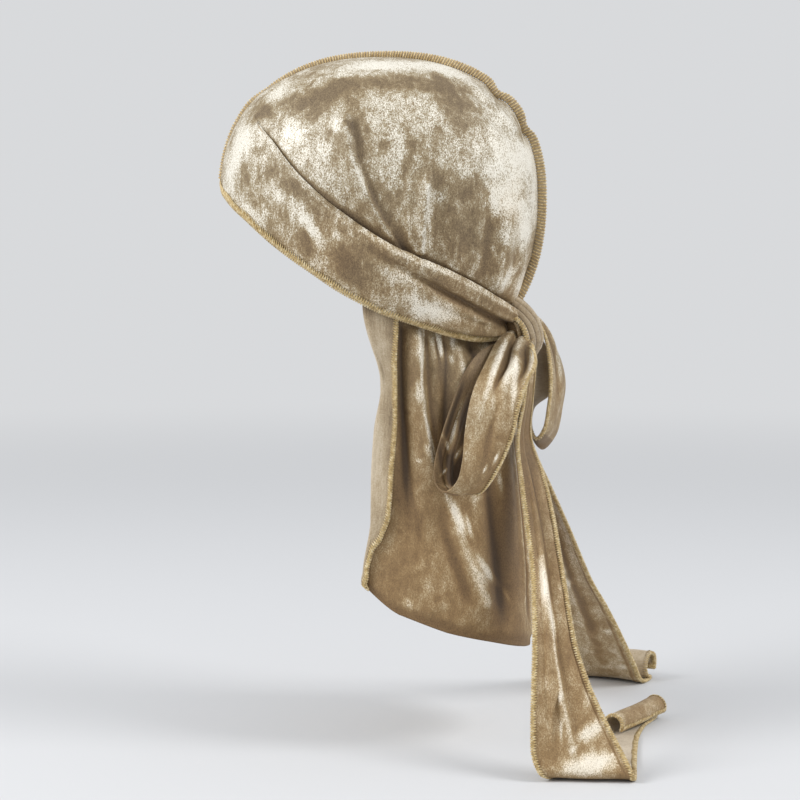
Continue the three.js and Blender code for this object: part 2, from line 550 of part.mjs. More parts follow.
const knotRoom = knotShape(CLEAR);
const tied = (rows, [along, across]) => cutBy(ribbon(rows, along, across), knotRoom);
add("crown_left", crownPanel(), velvet);
add("crown_right", mirrored(crownPanel()), velvet);
add("centre_seam", cutBy(centreSeam(), knotRoom), thread);
add("band_left", cutBy(band(), knotRoom), velvet);
add("band_right", cutBy(mirrored(band()), knotRoom), velvet);
add("knot", knotShape(0), velvetDark);
add("flap_left", flapHalf(true), velvet);
add("flap_right", mirrored(flapHalf(false)), velvet);
add("loop_left", tied(LOOP_LEFT_ROWS, DETAIL.loopLeft), velvet);
add("loop_right", tied(LOOP_RIGHT_ROWS, DETAIL.loopRight), velvetDark);
add("tail_left", tied(TAIL_LEFT_ROWS, DETAIL.tie), velvet);
add("tail_right", tied(TAIL_RIGHT_ROWS, DETAIL.tie), velvetDark);

export default durag;
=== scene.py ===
"""The looks of a tied durag of crushed velvet: cap, brow band, knot, bow, long ends and neck flap."""

import math
from functools import partialmethod

import bmesh
import bpy
import numpy as np
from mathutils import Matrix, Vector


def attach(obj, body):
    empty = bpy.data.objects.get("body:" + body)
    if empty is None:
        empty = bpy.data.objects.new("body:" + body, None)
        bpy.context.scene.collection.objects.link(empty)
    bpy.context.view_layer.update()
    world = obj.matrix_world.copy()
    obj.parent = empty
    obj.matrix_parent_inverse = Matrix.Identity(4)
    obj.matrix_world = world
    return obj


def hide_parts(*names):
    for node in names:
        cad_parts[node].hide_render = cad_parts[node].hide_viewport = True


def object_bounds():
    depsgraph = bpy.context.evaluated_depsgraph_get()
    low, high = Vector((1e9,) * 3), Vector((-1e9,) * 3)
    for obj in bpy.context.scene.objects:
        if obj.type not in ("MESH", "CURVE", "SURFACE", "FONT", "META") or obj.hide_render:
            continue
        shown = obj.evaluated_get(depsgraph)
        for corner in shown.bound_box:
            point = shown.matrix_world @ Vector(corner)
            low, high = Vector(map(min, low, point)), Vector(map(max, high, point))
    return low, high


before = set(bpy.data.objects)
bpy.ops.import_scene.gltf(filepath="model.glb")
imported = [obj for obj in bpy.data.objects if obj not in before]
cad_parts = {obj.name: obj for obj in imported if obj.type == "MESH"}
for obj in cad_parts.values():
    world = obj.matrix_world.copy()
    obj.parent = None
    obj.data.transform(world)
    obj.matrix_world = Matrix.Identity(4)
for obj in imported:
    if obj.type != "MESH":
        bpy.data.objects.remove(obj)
CAD_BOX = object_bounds()

bl_info = {
    "name": "Velvet durag",
    "version": (1, 0, 0),
    "blender": (4, 5, 0),
    "location": "3D View > Sidebar > Durag",
    "description": "Builds a tied durag of crushed velvet, piece by piece",
    "category": "Object",
}

MM = 0.001


# ---- Tables ----


def cubic(t, a, b, slope_a, slope_b):
    """The cubic from a to b with these slopes at its ends, at shares t."""
    t2, t3 = t * t, t * t * t
    from_a = (2 * t3 - 3 * t2 + 1) * a + (t3 - 2 * t2 + t) * slope_a
    return from_a + (3 * t2 - 2 * t3) * b + (t3 - t2) * slope_b


def lengthened(values):
    """Values with one more at each end, in line with the last two."""
    return np.concatenate([[2 * values[0] - values[1]], values, [2 * values[-1] - values[-2]]])


class Table:
    """Rows of numbers under named columns, read smoothly between the rows."""

    def __init__(self, names, *rows):
        self.rows = [dict(zip(names.split(), row)) for row in rows]
        self.columns = {name: np.array([row[name] for row in self.rows], float) for name in names.split()}

    def __getitem__(self, name):
        return self.columns[name]

    def read(self, at, name):
        """A column where the first one has the values at, through smooth steps between the rows."""
        keys, values = self[next(iter(self.columns))], self[name]
        if keys[-1] < keys[0]:
            keys, values = keys[::-1], values[::-1]
        at = np.clip(at, keys[0], keys[-1])
        i = np.clip(np.searchsorted(keys, at, side="right") - 1, 0, len(keys) - 2)
        t = (at - keys[i]) / (keys[i + 1] - keys[i])
        wide = lengthened(values)
        a, b = wide[i + 1], wide[i + 2]
        rise = b - a
        slopes = []
        for slope in ((b - wide[i]) / 2, (wide[i + 3] - a) / 2):
            limited = np.clip(slope, -3 * np.abs(rise), 3 * np.abs(rise))
            slopes.append(np.where(slope * rise <= 0, 0, limited))
        return cubic(t, a, b, *slopes)


# Band: angle round the head from the brow, heights of its edges over the band's plane (degrees), how far
# it stands off the cap and how much its middle bulges (mm).
BAND = Table(
    "turn low high lift belly",
    (0, -16.5, 14.0, 0, 0.5),
    (25, -21.2, 11.5, 0, 0.8),
    (44, -25.8, 5.0, 0, 1.5),
    (61, -30.8, -2.6, 0, 2.5),
    (78, -34.4, -8.6, 0, 3.5),
    (97, -36.0, -12.3, 3.2, 3.6),
    (115, -35.4, -13.4, 4.4, 4.2),
    (133, -33.0, -13.0, 2.6, 5.0),
    (146, -31.2, -13.6, 2, 4.5),
    (158, -28.6, -14.6, 4, 3.5),
    (168, -26.0, -15.6, 6, 2.5),
    (176, -24.5, -16.4, 8, 2.0),
)
# Groove under the rolled upper fold of the band: angle round the head, height (degrees), depth (mm).
ROLL = Table(
    "turn height depth",
    (96, -16.6, 0),
    (112, -17.9, 2.0),
    (124, -18.8, 3.6),
    (145, -19.7, 4.8),
    (165, -20.4, 5.0),
    (176, -20.6, 4.5),
)
FOLD = "x1 y1 x2 y2 x3 y3 height before after start end"
# Folds of the cap over (y, z): each runs through three points, stands out by its height and falls away
# over one width before it (towards the brow) and another after it, fading over a share at each end.
CROWN_FOLDS = Table(
    FOLD,
    (-21, -37, -14, -72, 9.5, -115, 5.6, 9, 1.3, 0.07, 0.0),
    (26, -70, 22, -92, 21, -116, 4.4, 5, 1.1, 0.25, 0.0),
    (31, -76, 28, -96, 27, -118, -1.6, 2.5, 7, 0.3, 0.0),
    (14, -70, 13, -92, 15, -114, 1.5, 2.0, 3.0, 0.3, 0.1),
    (62, -78, 65, -104, 57, -142, 2.4, 2.2, 7, 0.5, 0.0),
    (56, -84, 58, -108, 50, -138, -2.4, 6, 3, 0.5, 0.0),
    (-62, -50, -44, -74, -22, -92, 1.6, 8, 6, 0.5, 0.1),
    (40, -84, 39, -104, 38, -128, 1.4, 4, 3, 0.5, 0.0),
    (46, -90, 47, -108, 45, -131, -1.2, 3, 4, 0.5, 0.0),
    (72, -96, 71, -120, 62, -146, -1.8, 3, 3, 0.5, 0.0),
    (4, -84, 11, -100, 18, -116, 1.4, 3, 2, 0.5, 0.0),
    (36, -13, 46, -19, 58, -30, 1.1, 2.2, 1.8, 0.6, 0.1),
    (42, -19, 50, -26, 59, -33, -0.9, 1.6, 1.8, 0.6, 0.1),
    (56, -29, 64, -36, 72, -47, 1.2, 2.0, 1.8, 0.6, 0.1),
    (52, -34, 62, -43, 72, -52, -0.9, 1.8, 1.8, 0.6, 0.1),
)
# Folds of the band over (angle round the head, height), in degrees.
BAND_FOLDS = Table(
    FOLD,
    (128, -30, 150, -27, 172, -22.5, 1.3, 1.6, 1.0, 0.5, 0.1),
    (120, -25, 140, -24, 168, -21.8, -1.0, 1.0, 1.4, 0.5, 0.1),
    (138, -31, 156, -27.6, 174, -23.5, -1.4, 0.9, 1.1, 0.5, 0.0),
    (60, -20, 84, -27, 112, -29, 0.9, 3, 2.4, 0.5, 0.4),
    (84, -17, 104, -21, 126, -23, 0.8, 2, 2, 0.5, 0.5),
    (150, -17.6, 164, -18.2, 175, -18.8, 0.7, 0.8, 0.8, 0.5, 0.0),
)
MARK = "y z long wide turn shade"
# Where the cap is lighter (shade over 0) or darker (under 0), over (y, z): patches of crushed pile, with
# painted highlights on lit folds, edges and patches and painted shade in folds and hollows among them.
# Ellipses with their half lengths and half widths (mm), turned by so many degrees from the y axis.
CAP_MARKS = Table(
    MARK,
    (-86, -51, 10, 6.6, -90, 0.8), (-91, -69, 15, 4.8, -100, 0.8), (-78, -93, 11, 5.3, -35, 0.7),
    (-59, -84, 5, 2.9, -60, 0.6), (-40, -101, 12, 3.5, -55, 1), (-24, -105, 5, 2.3, -40, 0.4),
    (-2, -123, 14, 5.8, -10, 0.5), (23, -144, 11, 5.3, -12, 1), (13, -136, 5, 2.9, 0, 0.4),
    (54, -164, 5, 2.4, 10, 0.6), (-43, -57, 19, 11.7, -50, 0.38), (-56, -50, 9, 5.9, -90, 0.5),
    (-28, -44, 6, 2.3, -70, 0.5), (-65, -21, 10, 4.8, 35, 0.5), (-27, -12, 18, 4.2, 12, 0.6),
    (1, -7, 27, 3, 0, 0.9), (31, -10, 13, 3.6, -20, 0.8), (51, -22, 11, 4.8, -40, 0.5),
    (64, -36, 11, 7.2, -50, 0.6), (70, -58, 18, 13.2, -60, 0.5), (82, -67, 12, 4.2, -80, 0.6),
    (81, -91, 15, 5.4, -95, 0.55), (76, -108, 11, 3.6, -100, 0.85), (66, -131, 8, 3.6, -120, 0.95),
    (72, -137, 8, 2.1, -105, 0.8), (60, -88, 7, 2.4, -75, 0.45), (1, -62, 18, 14, 0, 0.18),
    (32, -57, 18, 14.1, 0, 0.15), (-34, -26, 19, 8.9, 25, -0.6), (12, -19, 30, 5.4, -3, -0.6),
    (33, -28, 11, 7.1, -30, -0.5), (-74, -35, 5, 7.2, -100, -0.5), (-53, -31, 9, 5.9, 20, -0.45),
    (-10, -47, 3, 1.8, -60, -0.5), (0, -55, 4, 2.3, 0, -0.4), (15, -56, 7, 2.9, -90, -0.5),
    (12, -66, 5, 2.3, -90, -0.4), (43, -63, 7, 4.7, 0, -0.25), (39, -77, 15, 7.6, -15, -0.5),
    (41, -101, 16, 11.7, -80, -0.2), (49, -122, 14, 10.6, -60, -0.15), (3, -91, 20, 6.4, -62, -0.15),
    (11, -108, 6, 4.7, -60, -0.4), (57, -108, 19, 2.4, -92, -0.5), (-52, -79, 6, 4.7, 0, -0.4),
    (-69, -70, 8, 7.1, 0, -0.35), (-83, -67, 3, 3.6, 0, -0.35), (-22, -121, 13, 6.4, -35, -0.4),
    (-44, -113, 11, 4.1, -40, -0.3), (38, -140, 15, 1.8, -25, -0.35), (46, -158, 16, 4.2, -18, -0.35),
    (25, -155, 11, 3, -20, -0.3),
    (-15, -53, 10, 2, -78, -1), (-6, -83, 20, 1.5, -68, -0.7), (8, -107, 9, 2.9, -58, -0.6),
    (-19, -45, 2, 3.5, -78, -0.8), (-14, -120, 20, 8.2, -32, -0.7), (-44, -106, 8, 4.7, -40, -0.3),
    (68, -74, 20, 10.7, -85, 0.5), (79, -56, 8, 6.1, -80, 0.5), (38, -98, 22, 14, -85, -0.2),
    (-20, -100, 30, 9, -38, -0.25), (24, -92, 20, 0.8, -84, 0.7), (19, -92, 20, 3, -84, 0.15),
    (74, -73, 29, 14.4, -86, 0.3),
)
FLAP_MARKS = Table(
    MARK,
    (41, -271, 11, 2.9, -62, 1), (48, -278, 8, 1.2, -76, 0.7), (59, -307, 12, 1.9, -60, 1),
    (74, -285, 60, 6, -90, -0.55),
    (56, -309, 5, 1.8, -60, 0.5), (69, -322, 5, 1.2, -70, 0.8), (65, -255, 6, 1.5, -80, 0.6),
    (54, -262, 6, 1.8, 15, 0.3), (19, -279, 8, 1.5, -85, -0.5), (8, -281, 2, 1.8, 0, -0.3),
    (18, -296, 4, 1.8, -90, -0.35), (21, -305, 3, 2.4, 0, -0.3), (31, -320, 3, 2.4, -60, -0.4),
    (14, -323, 5, 1.8, -80, 0.35), (3, -306, 8, 5.9, -90, -0.15), (70, -318, 4, 2.9, 0, -0.3),
    (10, -227, 31, 3.5, -92, -0.4), (24, -227, 35, 2.9, -80, 0.1), (24, -232, 4, 1.8, -80, 0.5),
    (20, -239, 2, 1.2, 0, 0.35), (19, -168, 13, 2.1, -88, 0.4), (19, -198, 8, 1.5, -88, 0.55),
    (20.7, -176, 24, 0.5, -90, 0.6), (26, -228, 22, 0.5, -77, 0.6), (32, -252, 12, 0.5, -72, 0.6),
    (29, -170, 8, 1.8, -72, 0.95), (37, -171, 5, 1.3, -80, 0.75), (36, -180, 3, 2.1, -60, 0.6),
    (35, -191, 5, 0.7, -85, 0.4), (36, -221, 26, 2.9, -95, -0.5), (31, -203, 29, 4.7, -90, -0.1),
    (12, -211, 3, 1.8, 0, -0.3), (8, -251, 24, 2.9, -92, -0.3), (67, -297, 53, 4.7, -92, -0.5),
)
# The same for the left loop's outer and inner layers, the right loop's inner one and the two long ends.
LOOP_OUTER_MARKS = Table(
    MARK,
    (62, -190, 18, 1.8, -107, 0.6), (71, -184, 16, 2.3, -95, 0.7), (75, -193, 16, 2.3, -92, 0.8),
    (68, -179, 13, 1.2, -107, -0.9), (59, -217, 12, 7, -100, 0.15), (62, -237, 13, 8.2, -110, -0.3),
    (65, -236, 4, 0.9, 65, 0.8), (59, -242, 3, 0.9, 60, 0.7), (85, -180, 9, 2.3, -90, 0.5),
    (78, -177, 5, 3.5, 0, -0.6), (82, -182, 4, 2.3, 0, -0.4), (75, -166, 7, 2.3, -30, 0.3),
)
LOOP_INNER_MARKS = Table(
    MARK,
    (40, -225, 9, 2.6, -100, 1.5), (42, -235, 6, 1.6, 60, 1.5), (36, -244, 5, 0.9, 40, 1.4),
    (45, -221, 24, 2.4, -95, -0.9), (42, -246, 9, 5, -80, -1.2), (46, -191, 15, 3.5, -105, -0.35),
    (39, -254, 7, 1.2, -5, 0.6), (36, -220, 11, 1.3, -105, -1.1), (38, -243, 9, 1.6, -80, -1.6),
    (32, -236, 9, 1.2, -85, -0.9), (35, -228, 7, 1.2, -70, 1.2), (44, -205, 12, 1.6, -108, 0.7),
    (41, -203, 12, 1.2, -108, -0.9), (48, -186, 8, 1.6, -115, 0.6),
)
# Painted shade only: the dark hollow by the knot, between the flap and the loops.
PAINTED_SHADE_MARKS = Table(MARK, (84, -190, 40, 30, 0, -0.9))
NEAR_END_MARKS = Table(
    MARK,
    (93, -309, 11, 1.9, -80, 0.75), (100, -331, 10, 0.9, -80, 0.9), (105, -369, 3, 1.1, -90, 0.8),
    (106, -387, 8, 0.9, -90, 0.7), (96, -365, 34, 5.7, -92, 0.1), (113, -336, 34, 5.7, -75, -0.2),
    (120, -372, 5, 2.8, -90, 0.35), (122, -388, 9, 4, 30, 0.9), (122, -405, 15, 5.1, 10, 1),
    (113, -397, 3, 1.7, 40, 0.6), (123, -415, 20, 2.3, 0, -0.3), (94, -405, 2, 2.3, 0, -0.3),
    (91, -245, 9, 1.1, -80, 0.8), (84, -216, 17, 2.8, -88, 0.15), (87, -268, 23, 4.6, -80, -0.15),
    (80, -240, 36, 6, -86, -0.5),
)
FAR_END_MARKS = Table(
    MARK,
    (99, -326, 3, 2.7, 0, 0.5), (100, -336, 5, 2.7, 30, 0.75), (117, -368, 5, 4, -90, -0.4),
    (128, -372, 3, 2, 0, 0.4), (122, -378, 3, 2, 0, 0.25), (137, -401, 5, 2, 0, 0.4),
    (127, -402, 4, 2, 0, 0.3), (112, -351, 27, 13.4, -60, -0.15),
)
# Where the centre seam buckles: angle over the head, depth, half width in degrees, reach to the side.
NOTCHES = Table("angle depth half reach", (138, 3.0, 3.0, 16), (154, 2.6, 3.0, 14))
# Flap: height, half width, reach behind, and where its front fold stands.
FLAP_LEVELS = Table(
    "z side back front",
    (-139, 66, 68, -5.5),
    (-169, 63, 70, -1.5),
    (-199, 62, 70, 0),
    (-221, 62, 71, -3.5),
    (-249, 64, 74, -5),
    (-277, 67, 77, -5),
    (-309, 71, 80, -9),
    (-339, 74, 82, -4),
    (-365, 75, 83, -2),
)
HEM = Table("around z", (0, -316), (0.1, -330), (0.3, -341), (0.55, -349), (0.8, -356), (1, -360))
# Folds of the flap over (mm round it from its side towards the back, z).
FLAP_FOLDS = Table(
    FOLD,
    (14.8, -146, 16.5, -205, 27.5, -263, 4.4, 7, 1.2, 0.02, 0.35),
    (19.5, -150, 21.5, -205, 32, -258, -1.8, 2.5, 5, 0.08, 0.4),
    (2.5, -146, 3.5, -215, 9, -290, -3.0, 4, 4, 0.08, 0.3),
    (33, -262, 41, -296, 54, -330, 3.2, 4, 6, 0.3, 0.1),
    (25, -262, 33, -296, 44, -330, -1.6, 6, 5, 0.4, 0.2),
    (21, -146, 23.5, -172, 26, -200, 2.2, 2.5, 2.5, 0.1, 0.6),
    (30, -146, 30.5, -170, 31, -192, 1.8, 2.5, 2.5, 0.1, 0.6),
    (26, -146, 27, -172, 28.5, -196, -2.0, 2.2, 2.2, 0.1, 0.5),
    (36, -150, 31, -212, 34, -262, -2.6, 4, 5, 0.2, 0.4),
    (46, -150, 44, -220, 52, -300, 2.2, 6, 5, 0.1, 0.3),
    (62, -150, 60, -230, 64, -345, -3.2, 7, 7, 0.1, 0.1),
    (78, -150, 78, -230, 80, -310, 2.0, 7, 6, 0.1, 0.5),
    (96, -150, 96, -230, 96, -355, -2.4, 7, 7, 0.1, 0.1),
    (103, -165, 101, -250, 104, -350, 2.2, 4, 4, 0.1, 0.2),
    (88, -170, 90, -240, 87, -350, 2.0, 4, 5, 0.1, 0.2),
    (5.5, -205, 8, -245, 14, -285, -1.2, 2, 4, 0.4, 0.4),
    (9, -285, 14, -305, 24, -330, 1.3, 6, 6, 0.5, 0.1),
)
# Where the free edge of the flap's turned-back front lies (y) at each height.
LAPEL_EDGE = Table(
    "z y", (-139, 6.3), (-210, 6.3), (-235, 4.6), (-265, 2.8), (-281, -2.0), (-290, -6.6), (-302, -9.5)
)
# Ribbons: one section a row, given by its two edges and how far its middle bulges.
RIBBON = "ax ay az bx by bz belly"
LOOP_LEFT = Table(
    RIBBON,
    (8, 72, -163, 10, 83, -168, 1),
    (30, 63.5, -169, 32, 84, -175, 4),
    (51, 57, -183, 49, 86.5, -186, 6),
    (64, 52, -195, 59, 82, -195, 7),
    (72, 49, -208, 65, 78, -208, 8),
    (76, 47, -223, 67, 75, -223, 8),
    (79, 46, -238, 69, 69, -238, 8),
    (80, 43, -250, 69, 62, -250, 6),
    (77, 36, -256, 66, 55, -257, 4),
    (72, 30, -252, 62, 48, -252, 3),
    (71, 29, -241, 60, 47, -240, 3),
    (68, 33, -223, 57, 51, -222, 3),
    (62, 39, -204, 50, 57, -204, 3),
    (56, 45, -188, 43, 63, -189, 3),
    (44, 52, -177, 32, 68, -178, 2),
    (14, 69, -169, 8, 80, -172, 1),
)
LOOP_RIGHT = Table(
    RIBBON,
    (2, 79, -155, -6, 80, -155, 0),
    (0, 86, -162, -28, 84, -161, 1),
    (-4, 90, -171, -36, 91, -172, 2),
    (-6, 91.8, -184, -39, 97.5, -187, 2),
    (-6, 92.2, -198, -40, 100.4, -201, 2),
    (-7, 91.5, -211, -40, 98.5, -215, 2),
    (-8, 89, -226, -40, 94, -233, 2),
    (-11, 84, -232, -39, 86, -242, 1),
    (-12, 80, -223, -38, 80, -233, 1),
    (-10, 79.5, -211, -36, 81, -216, 1),
    (-8, 79.5, -203, -34, 92, -205, 1),
    (-6, 79.5, -180, -30, 90, -183, 1),
    (-3, 79, -165, -10, 85, -165, 0),
)
LYING = -413.2  # height of the cloth that lies on the surface
TAIL_LEFT = Table(
    RIBBON,
    (12, 80, -165, 4, 84, -167, 0),
    (20, 80, -185, 4, 84, -185, 1),
    (28, 78, -207, 6, 82.5, -207, 2),
    (35, 75, -229, 12, 82, -229, 3),
    (47, 78, -253, 28, 91, -251, 3),
    (60, 82, -276, 44, 98, -274, 3),
    (73, 86, -299, 58, 103, -297, 4),
    (88, 88, -321, 74, 108, -319, 4),
    (100, 89, -343, 87, 113, -341, 4),
    (109, 89, -364, 97, 121, -362, 4),
    (115, 89, -384, 104, 131, -382, 3),
    (119, 90, -401, 111, 141, -399, 2),
    (120, 94, -410, 117, 147, -409.5, 1),
    (115, 98, LYING, 113, 148, LYING, 0),
    (84, 100, LYING, 80, 148, LYING, 0),
    (50, 106, LYING, 44, 148, LYING, 0),
    (28, 116, LYING, 10, 149, LYING, 0),
    (16, 127, LYING, -20, 153, LYING, 0),
)
# The line (x, y) of each end from which its tip rolls up, and the radius of the roll.
TAIL_LEFT_ROLL = {"a": (11, 133), "b": (-48, 160), "radius": 6}
TAIL_RIGHT = Table(
    RIBBON,
    (4, 76, -167, -8, 73, -167, 0),
    (-2, 74, -189, -16, 71, -189, 1),
    (-6, 76, -214, -26, 71, -214, 1),
    (-18, 83, -242, -42, 70, -242, 1),
    (-38, 92.6, -267, -60, 72, -267, 2),
    (-55, 104, -296, -80, 78, -296, 3),
    (-73, 117, -331, -98, 84, -333, 3),
    (-92, 126, -351, -116, 88, -355, 3),
    (-112, 136, -375, -136, 92, -382, 2),
    (-133, 145.5, -400, -155, 95, -403, 1),
    (-143, 149, -410, -164, 97, -411, 0),
    (-150, 152, LYING, -171, 99, LYING, 0),
)
TAIL_RIGHT_ROLL = {"a": (-163, 156), "b": (-184, 104), "radius": 8.5}
# The strap that wraps the knot, from its inner edge to its outer one, and a narrow turn under it.
KNOT_STRAP = Table(
    RIBBON,
    (10, 60, -154, -2, 60, -144, 4),
    (15, 64.8, -153.2, -5, 64, -144.5, 5),
    (18.5, 68.0, -154.3, -7, 67, -144, 6),
    (21.5, 71.8, -156.9, -7, 70, -146, 6.5),
    (23, 75.3, -160.5, -7, 74, -149.5, 7),
    (23.5, 77.4, -164.4, -7, 78, -156.5, 8.5),
    (23.5, 78.5, -168.3, -7, 79, -164.5, 9.5),
    (23.5, 78.9, -171.6, -7, 79.5, -171.5, 9.5),
    (23, 79.5, -174.1, -7, 79.5, -176.5, 7.5),
    (21, 79.8, -176.4, -5, 79, -180, 5),
    (10, 78, -178.5, -2, 77, -183, 3),
)
KNOT_TURN = Table(
    RIBBON,
    (15, 67, -156.0, 11, 68, -153.0, 0.5),
    (18, 69.9, -156.7, 14, 71.5, -155.0, 1),
    (20.5, 71.6, -159.3, 17, 74.1, -157.6, 1),
    (22, 73.2, -162.8, 18, 76.3, -161.5, 1),
    (22.5, 74.2, -166.7, 18, 77.4, -165.7, 1),
    (22, 74.2, -171.0, 17, 77.5, -170.6, 1),
    (17, 73.0, -175.5, 13, 75.5, -176.0, 0.5),
)
# Folds of the ribbons over (share across from edge a to edge b, share along).
LOOP_LEFT_FOLDS = Table(
    FOLD,
    (0.30, 0.0, 0.22, 0.12, 0.16, 0.30, 2.4, 0.16, 0.10, 0.5, 0.6),
    (0.44, 0.0, 0.42, 0.12, 0.36, 0.24, -5.0, 0.08, 0.08, 0.45, 0.5),
    (0.60, 0.0, 0.58, 0.12, 0.50, 0.26, 3.0, 0.10, 0.14, 0.5, 0.5),
    (0.90, 0.04, 0.96, 0.12, 0.86, 0.22, 4.0, 0.12, 0.10, 0.5, 0.4),
    (0.76, 0.02, 0.78, 0.12, 0.74, 0.20, -2.4, 0.08, 0.08, 0.5, 0.5),
    (0.30, 0.20, 0.44, 0.26, 0.60, 0.27, 1.4, 0.05, 0.05, 0.5, 0.5),
    (0.62, 0.20, 0.50, 0.32, 0.44, 0.42, -1.4, 0.14, 0.10, 0.5, 0.5),
    (0.24, 0.58, 0.34, 0.68, 0.26, 0.80, 2.4, 0.09, 0.09, 0.3, 0.4),
    (0.48, 0.56, 0.46, 0.68, 0.54, 0.84, -2.6, 0.10, 0.10, 0.3, 0.4),
)
STRAP_FOLDS = Table(
    FOLD,
    (0.12, 0, 0.12, 0.5, 0.14, 1, -1.5, 0.03, 0.03, 0.1, 0.1),
    (0.24, 0, 0.24, 0.5, 0.26, 1, -1.7, 0.03, 0.03, 0.1, 0.1),
    (0.44, 0, 0.40, 0.5, 0.42, 1, -1.9, 0.04, 0.04, 0.1, 0.1),
    (0.62, 0, 0.60, 0.5, 0.62, 1, -1.2, 0.04, 0.04, 0.1, 0.1),
    (0.84, 0, 0.80, 0.5, 0.80, 1, -1.4, 0.04, 0.04, 0.1, 0.1),
)
TURN_FOLDS = Table(FOLD, (0.5, 0, 0.5, 0.5, 0.5, 1, -0.5, 0.14, 0.14, 0.1, 0.1))
GATHERS = (
    (0.35, 0.0, 0.40, 0.2, 0.46, 0.5, -2.2, 0.12, 0.12, 0.05, 0.6),
    (0.62, 0.0, 0.58, 0.2, 0.56, 0.4, 1.8, 0.12, 0.10, 0.05, 0.6),
)
LOOP_RIGHT_FOLDS = Table(FOLD, *GATHERS)
NEAR_END_FOLDS = Table(
    FOLD,
    (0.26, 0.20, 0.47, 0.28, 0.40, 0.395, 3.4, 0.24, 0.045, 0.12, 0.35),
    (0.30, 0.0, 0.38, 0.12, 0.44, 0.24, 1.2, 0.14, 0.07, 0.1, 0.5),
    (0.52, 0.0, 0.56, 0.14, 0.62, 0.34, -1.6, 0.07, 0.14, 0.1, 0.4),
    (0.90, 0.14, 0.91, 0.28, 0.91, 0.42, -0.9, 0.03, 0.03, 0.1, 0.1),
)
FAR_END_FOLDS = Table(FOLD, *GATHERS, (0.09, 0.2, 0.09, 0.35, 0.09, 0.5, -0.9, 0.03, 0.03, 0.1, 0.1))
# The loops and ends: sections and folds, columns and rows of the grid, roll of the tip, height of the waves
# (mm), share of the bulge, marks of the outer and the inner layer, and size of the cloth laid flat (m).
TIES = {
    "loop_left": (
        LOOP_LEFT, LOOP_LEFT_FOLDS, (240, 76), None, 0.3, 0.3,
        (LOOP_OUTER_MARKS, LOOP_INNER_MARKS), (0.034, 0.258),
    ),
    "loop_right": (
        LOOP_RIGHT, LOOP_RIGHT_FOLDS, (180, 40), None, 0.3, 0.5,
        (FAR_END_MARKS, PAINTED_SHADE_MARKS), (0.033, 0.176),
    ),
    "tail_left": (
        TAIL_LEFT, NEAR_END_FOLDS, (420, 70), TAIL_LEFT_ROLL, 0.2, -0.3,
        (NEAR_END_MARKS, NEAR_END_MARKS), (0.048, 0.43),
    ),
    "tail_right": (
        TAIL_RIGHT, FAR_END_FOLDS, (280, 56), TAIL_RIGHT_ROLL, 0.4, 0.5,
        (FAR_END_MARKS, FAR_END_MARKS), (0.051, 0.35),
    ),
}
# One overlock stitch: share of its pitch, reach in from the edge in its width, lift in half the cloth.
STITCH = Table(
    "share reach lift",
    (0, 1, 1),
    (0.22, 0.55, 1.15),
    (0.4, -0.1, 0.6),
    (0.45, -0.12, -0.5),
    (0.5, 0.9, -1),
    (0.62, -0.1, -0.5),
    (0.7, -0.12, 0.6),
    (0.86, 0.5, 1.15),
)

# ---- Head form ----

CLOTH = 1.6  # from the inside of the cap to its outer face (mm)
LAP = 1.95  # from the cap's outer face to that of the band over it (mm)
HEAD_CENTRE = np.array([0.0, -12.0, -84.0])
# Half sizes of the inside of the cap (mm) and the power of its rounded form.
HEAD = {"front": 94, "back": 95, "side": 76, "top": 84, "below": 110, "nape": 100, "round": 2.3}
TILT = math.radians(23)  # the band's plane falls towards the back
UP = np.array([0, math.sin(TILT), math.cos(TILT)])
FORWARD = np.array([0, -math.cos(TILT), math.sin(TILT)])
# Angles over the head between which the crown panels meet at the seam, and that of the brow's edge.
SEAM_FROM, SEAM_TO, BROW = 37, 216, 7
BAND_END = 180  # angle round the head where the band's two halves meet
KNOT = {"at": np.array([4, 75, -164]), "wide": 15, "deep": 11.5, "tall": 13}
# The seam's ridge: its height at the front, how much it grows between two angles, its half thickness,
# its foot over the cap and over the band, its lean, its mean radius, and its thread's pitch and radius.
RIDGE = {
    "tall": 3.4, "grows": 1.8, "from": 80, "to": 143, "half": 1.15, "foot": 0.25, "on_band": 2.45,
    "lean": 0.18, "radius": 97, "pitch": 1.75, "thread": 0.36,
}
# The flap: the angle round the head where it starts, the share of it under the band, the y axis of its
# plan with its half sizes, mean radius and power, and the rows and radius of its turned-back front.
FLAP = {
    "from": 109.3, "tuck": 0.1, "axis": 6, "side": 66, "deep": 70, "mean": 68, "round": 2.2,
    "turned": 26, "bend": 1.9,
}
# Columns of each half of the cap and rows of its crown and band, and columns and rows of each half of the
# flap: finer on the wearer's left.
CAP_GRIDS = {"left": (266, 110, 50), "right": (170, 60, 30)}
FLAP_GRIDS = {"left": (160, 176), "right": (86, 176)}
# How far stitches reach in: on the band from the brow to the knot at shares of the way, and elsewhere (mm).
BAND_STITCH = ((0, 0.35, 0.65, 1), (5.2, 4.6, 4.4, 4.0))
FLAP_STITCH, TIE_STITCH = 3.0, 2.8
CAMERA = {"target": np.array([0, 0, -0.2086]), "lens": 94.35, "sensor": 36, "far": 60}
# The floor's radius, its depth under the lowest cloth and where it fades into the backdrop (m).
FLOOR = {"radius": 14, "below": 0.0002, "fades": (0.9, 2.6)}
LAMPS = Table("x y z size power", (0.9, -1.5, 1.0, 1.1, 26), (0.4, 1.5, 1.2, 0.9, 17))
LAMPS_AIM = np.array([0, 0, -0.15])


def smooth(low, high, x):
    """0 below low, 1 above high and an S between them."""
    t = np.clip((x - low) / (high - low), 0, 1)
    return t * t * (3 - 2 * t)


def bell(x):
    """1 at 0, falling away to both sides."""
    return np.exp(-x * x)


def unit(v):
    """Vectors at length 1."""
    return v / np.maximum(np.linalg.norm(v, axis=-1, keepdims=True), 1e-9)


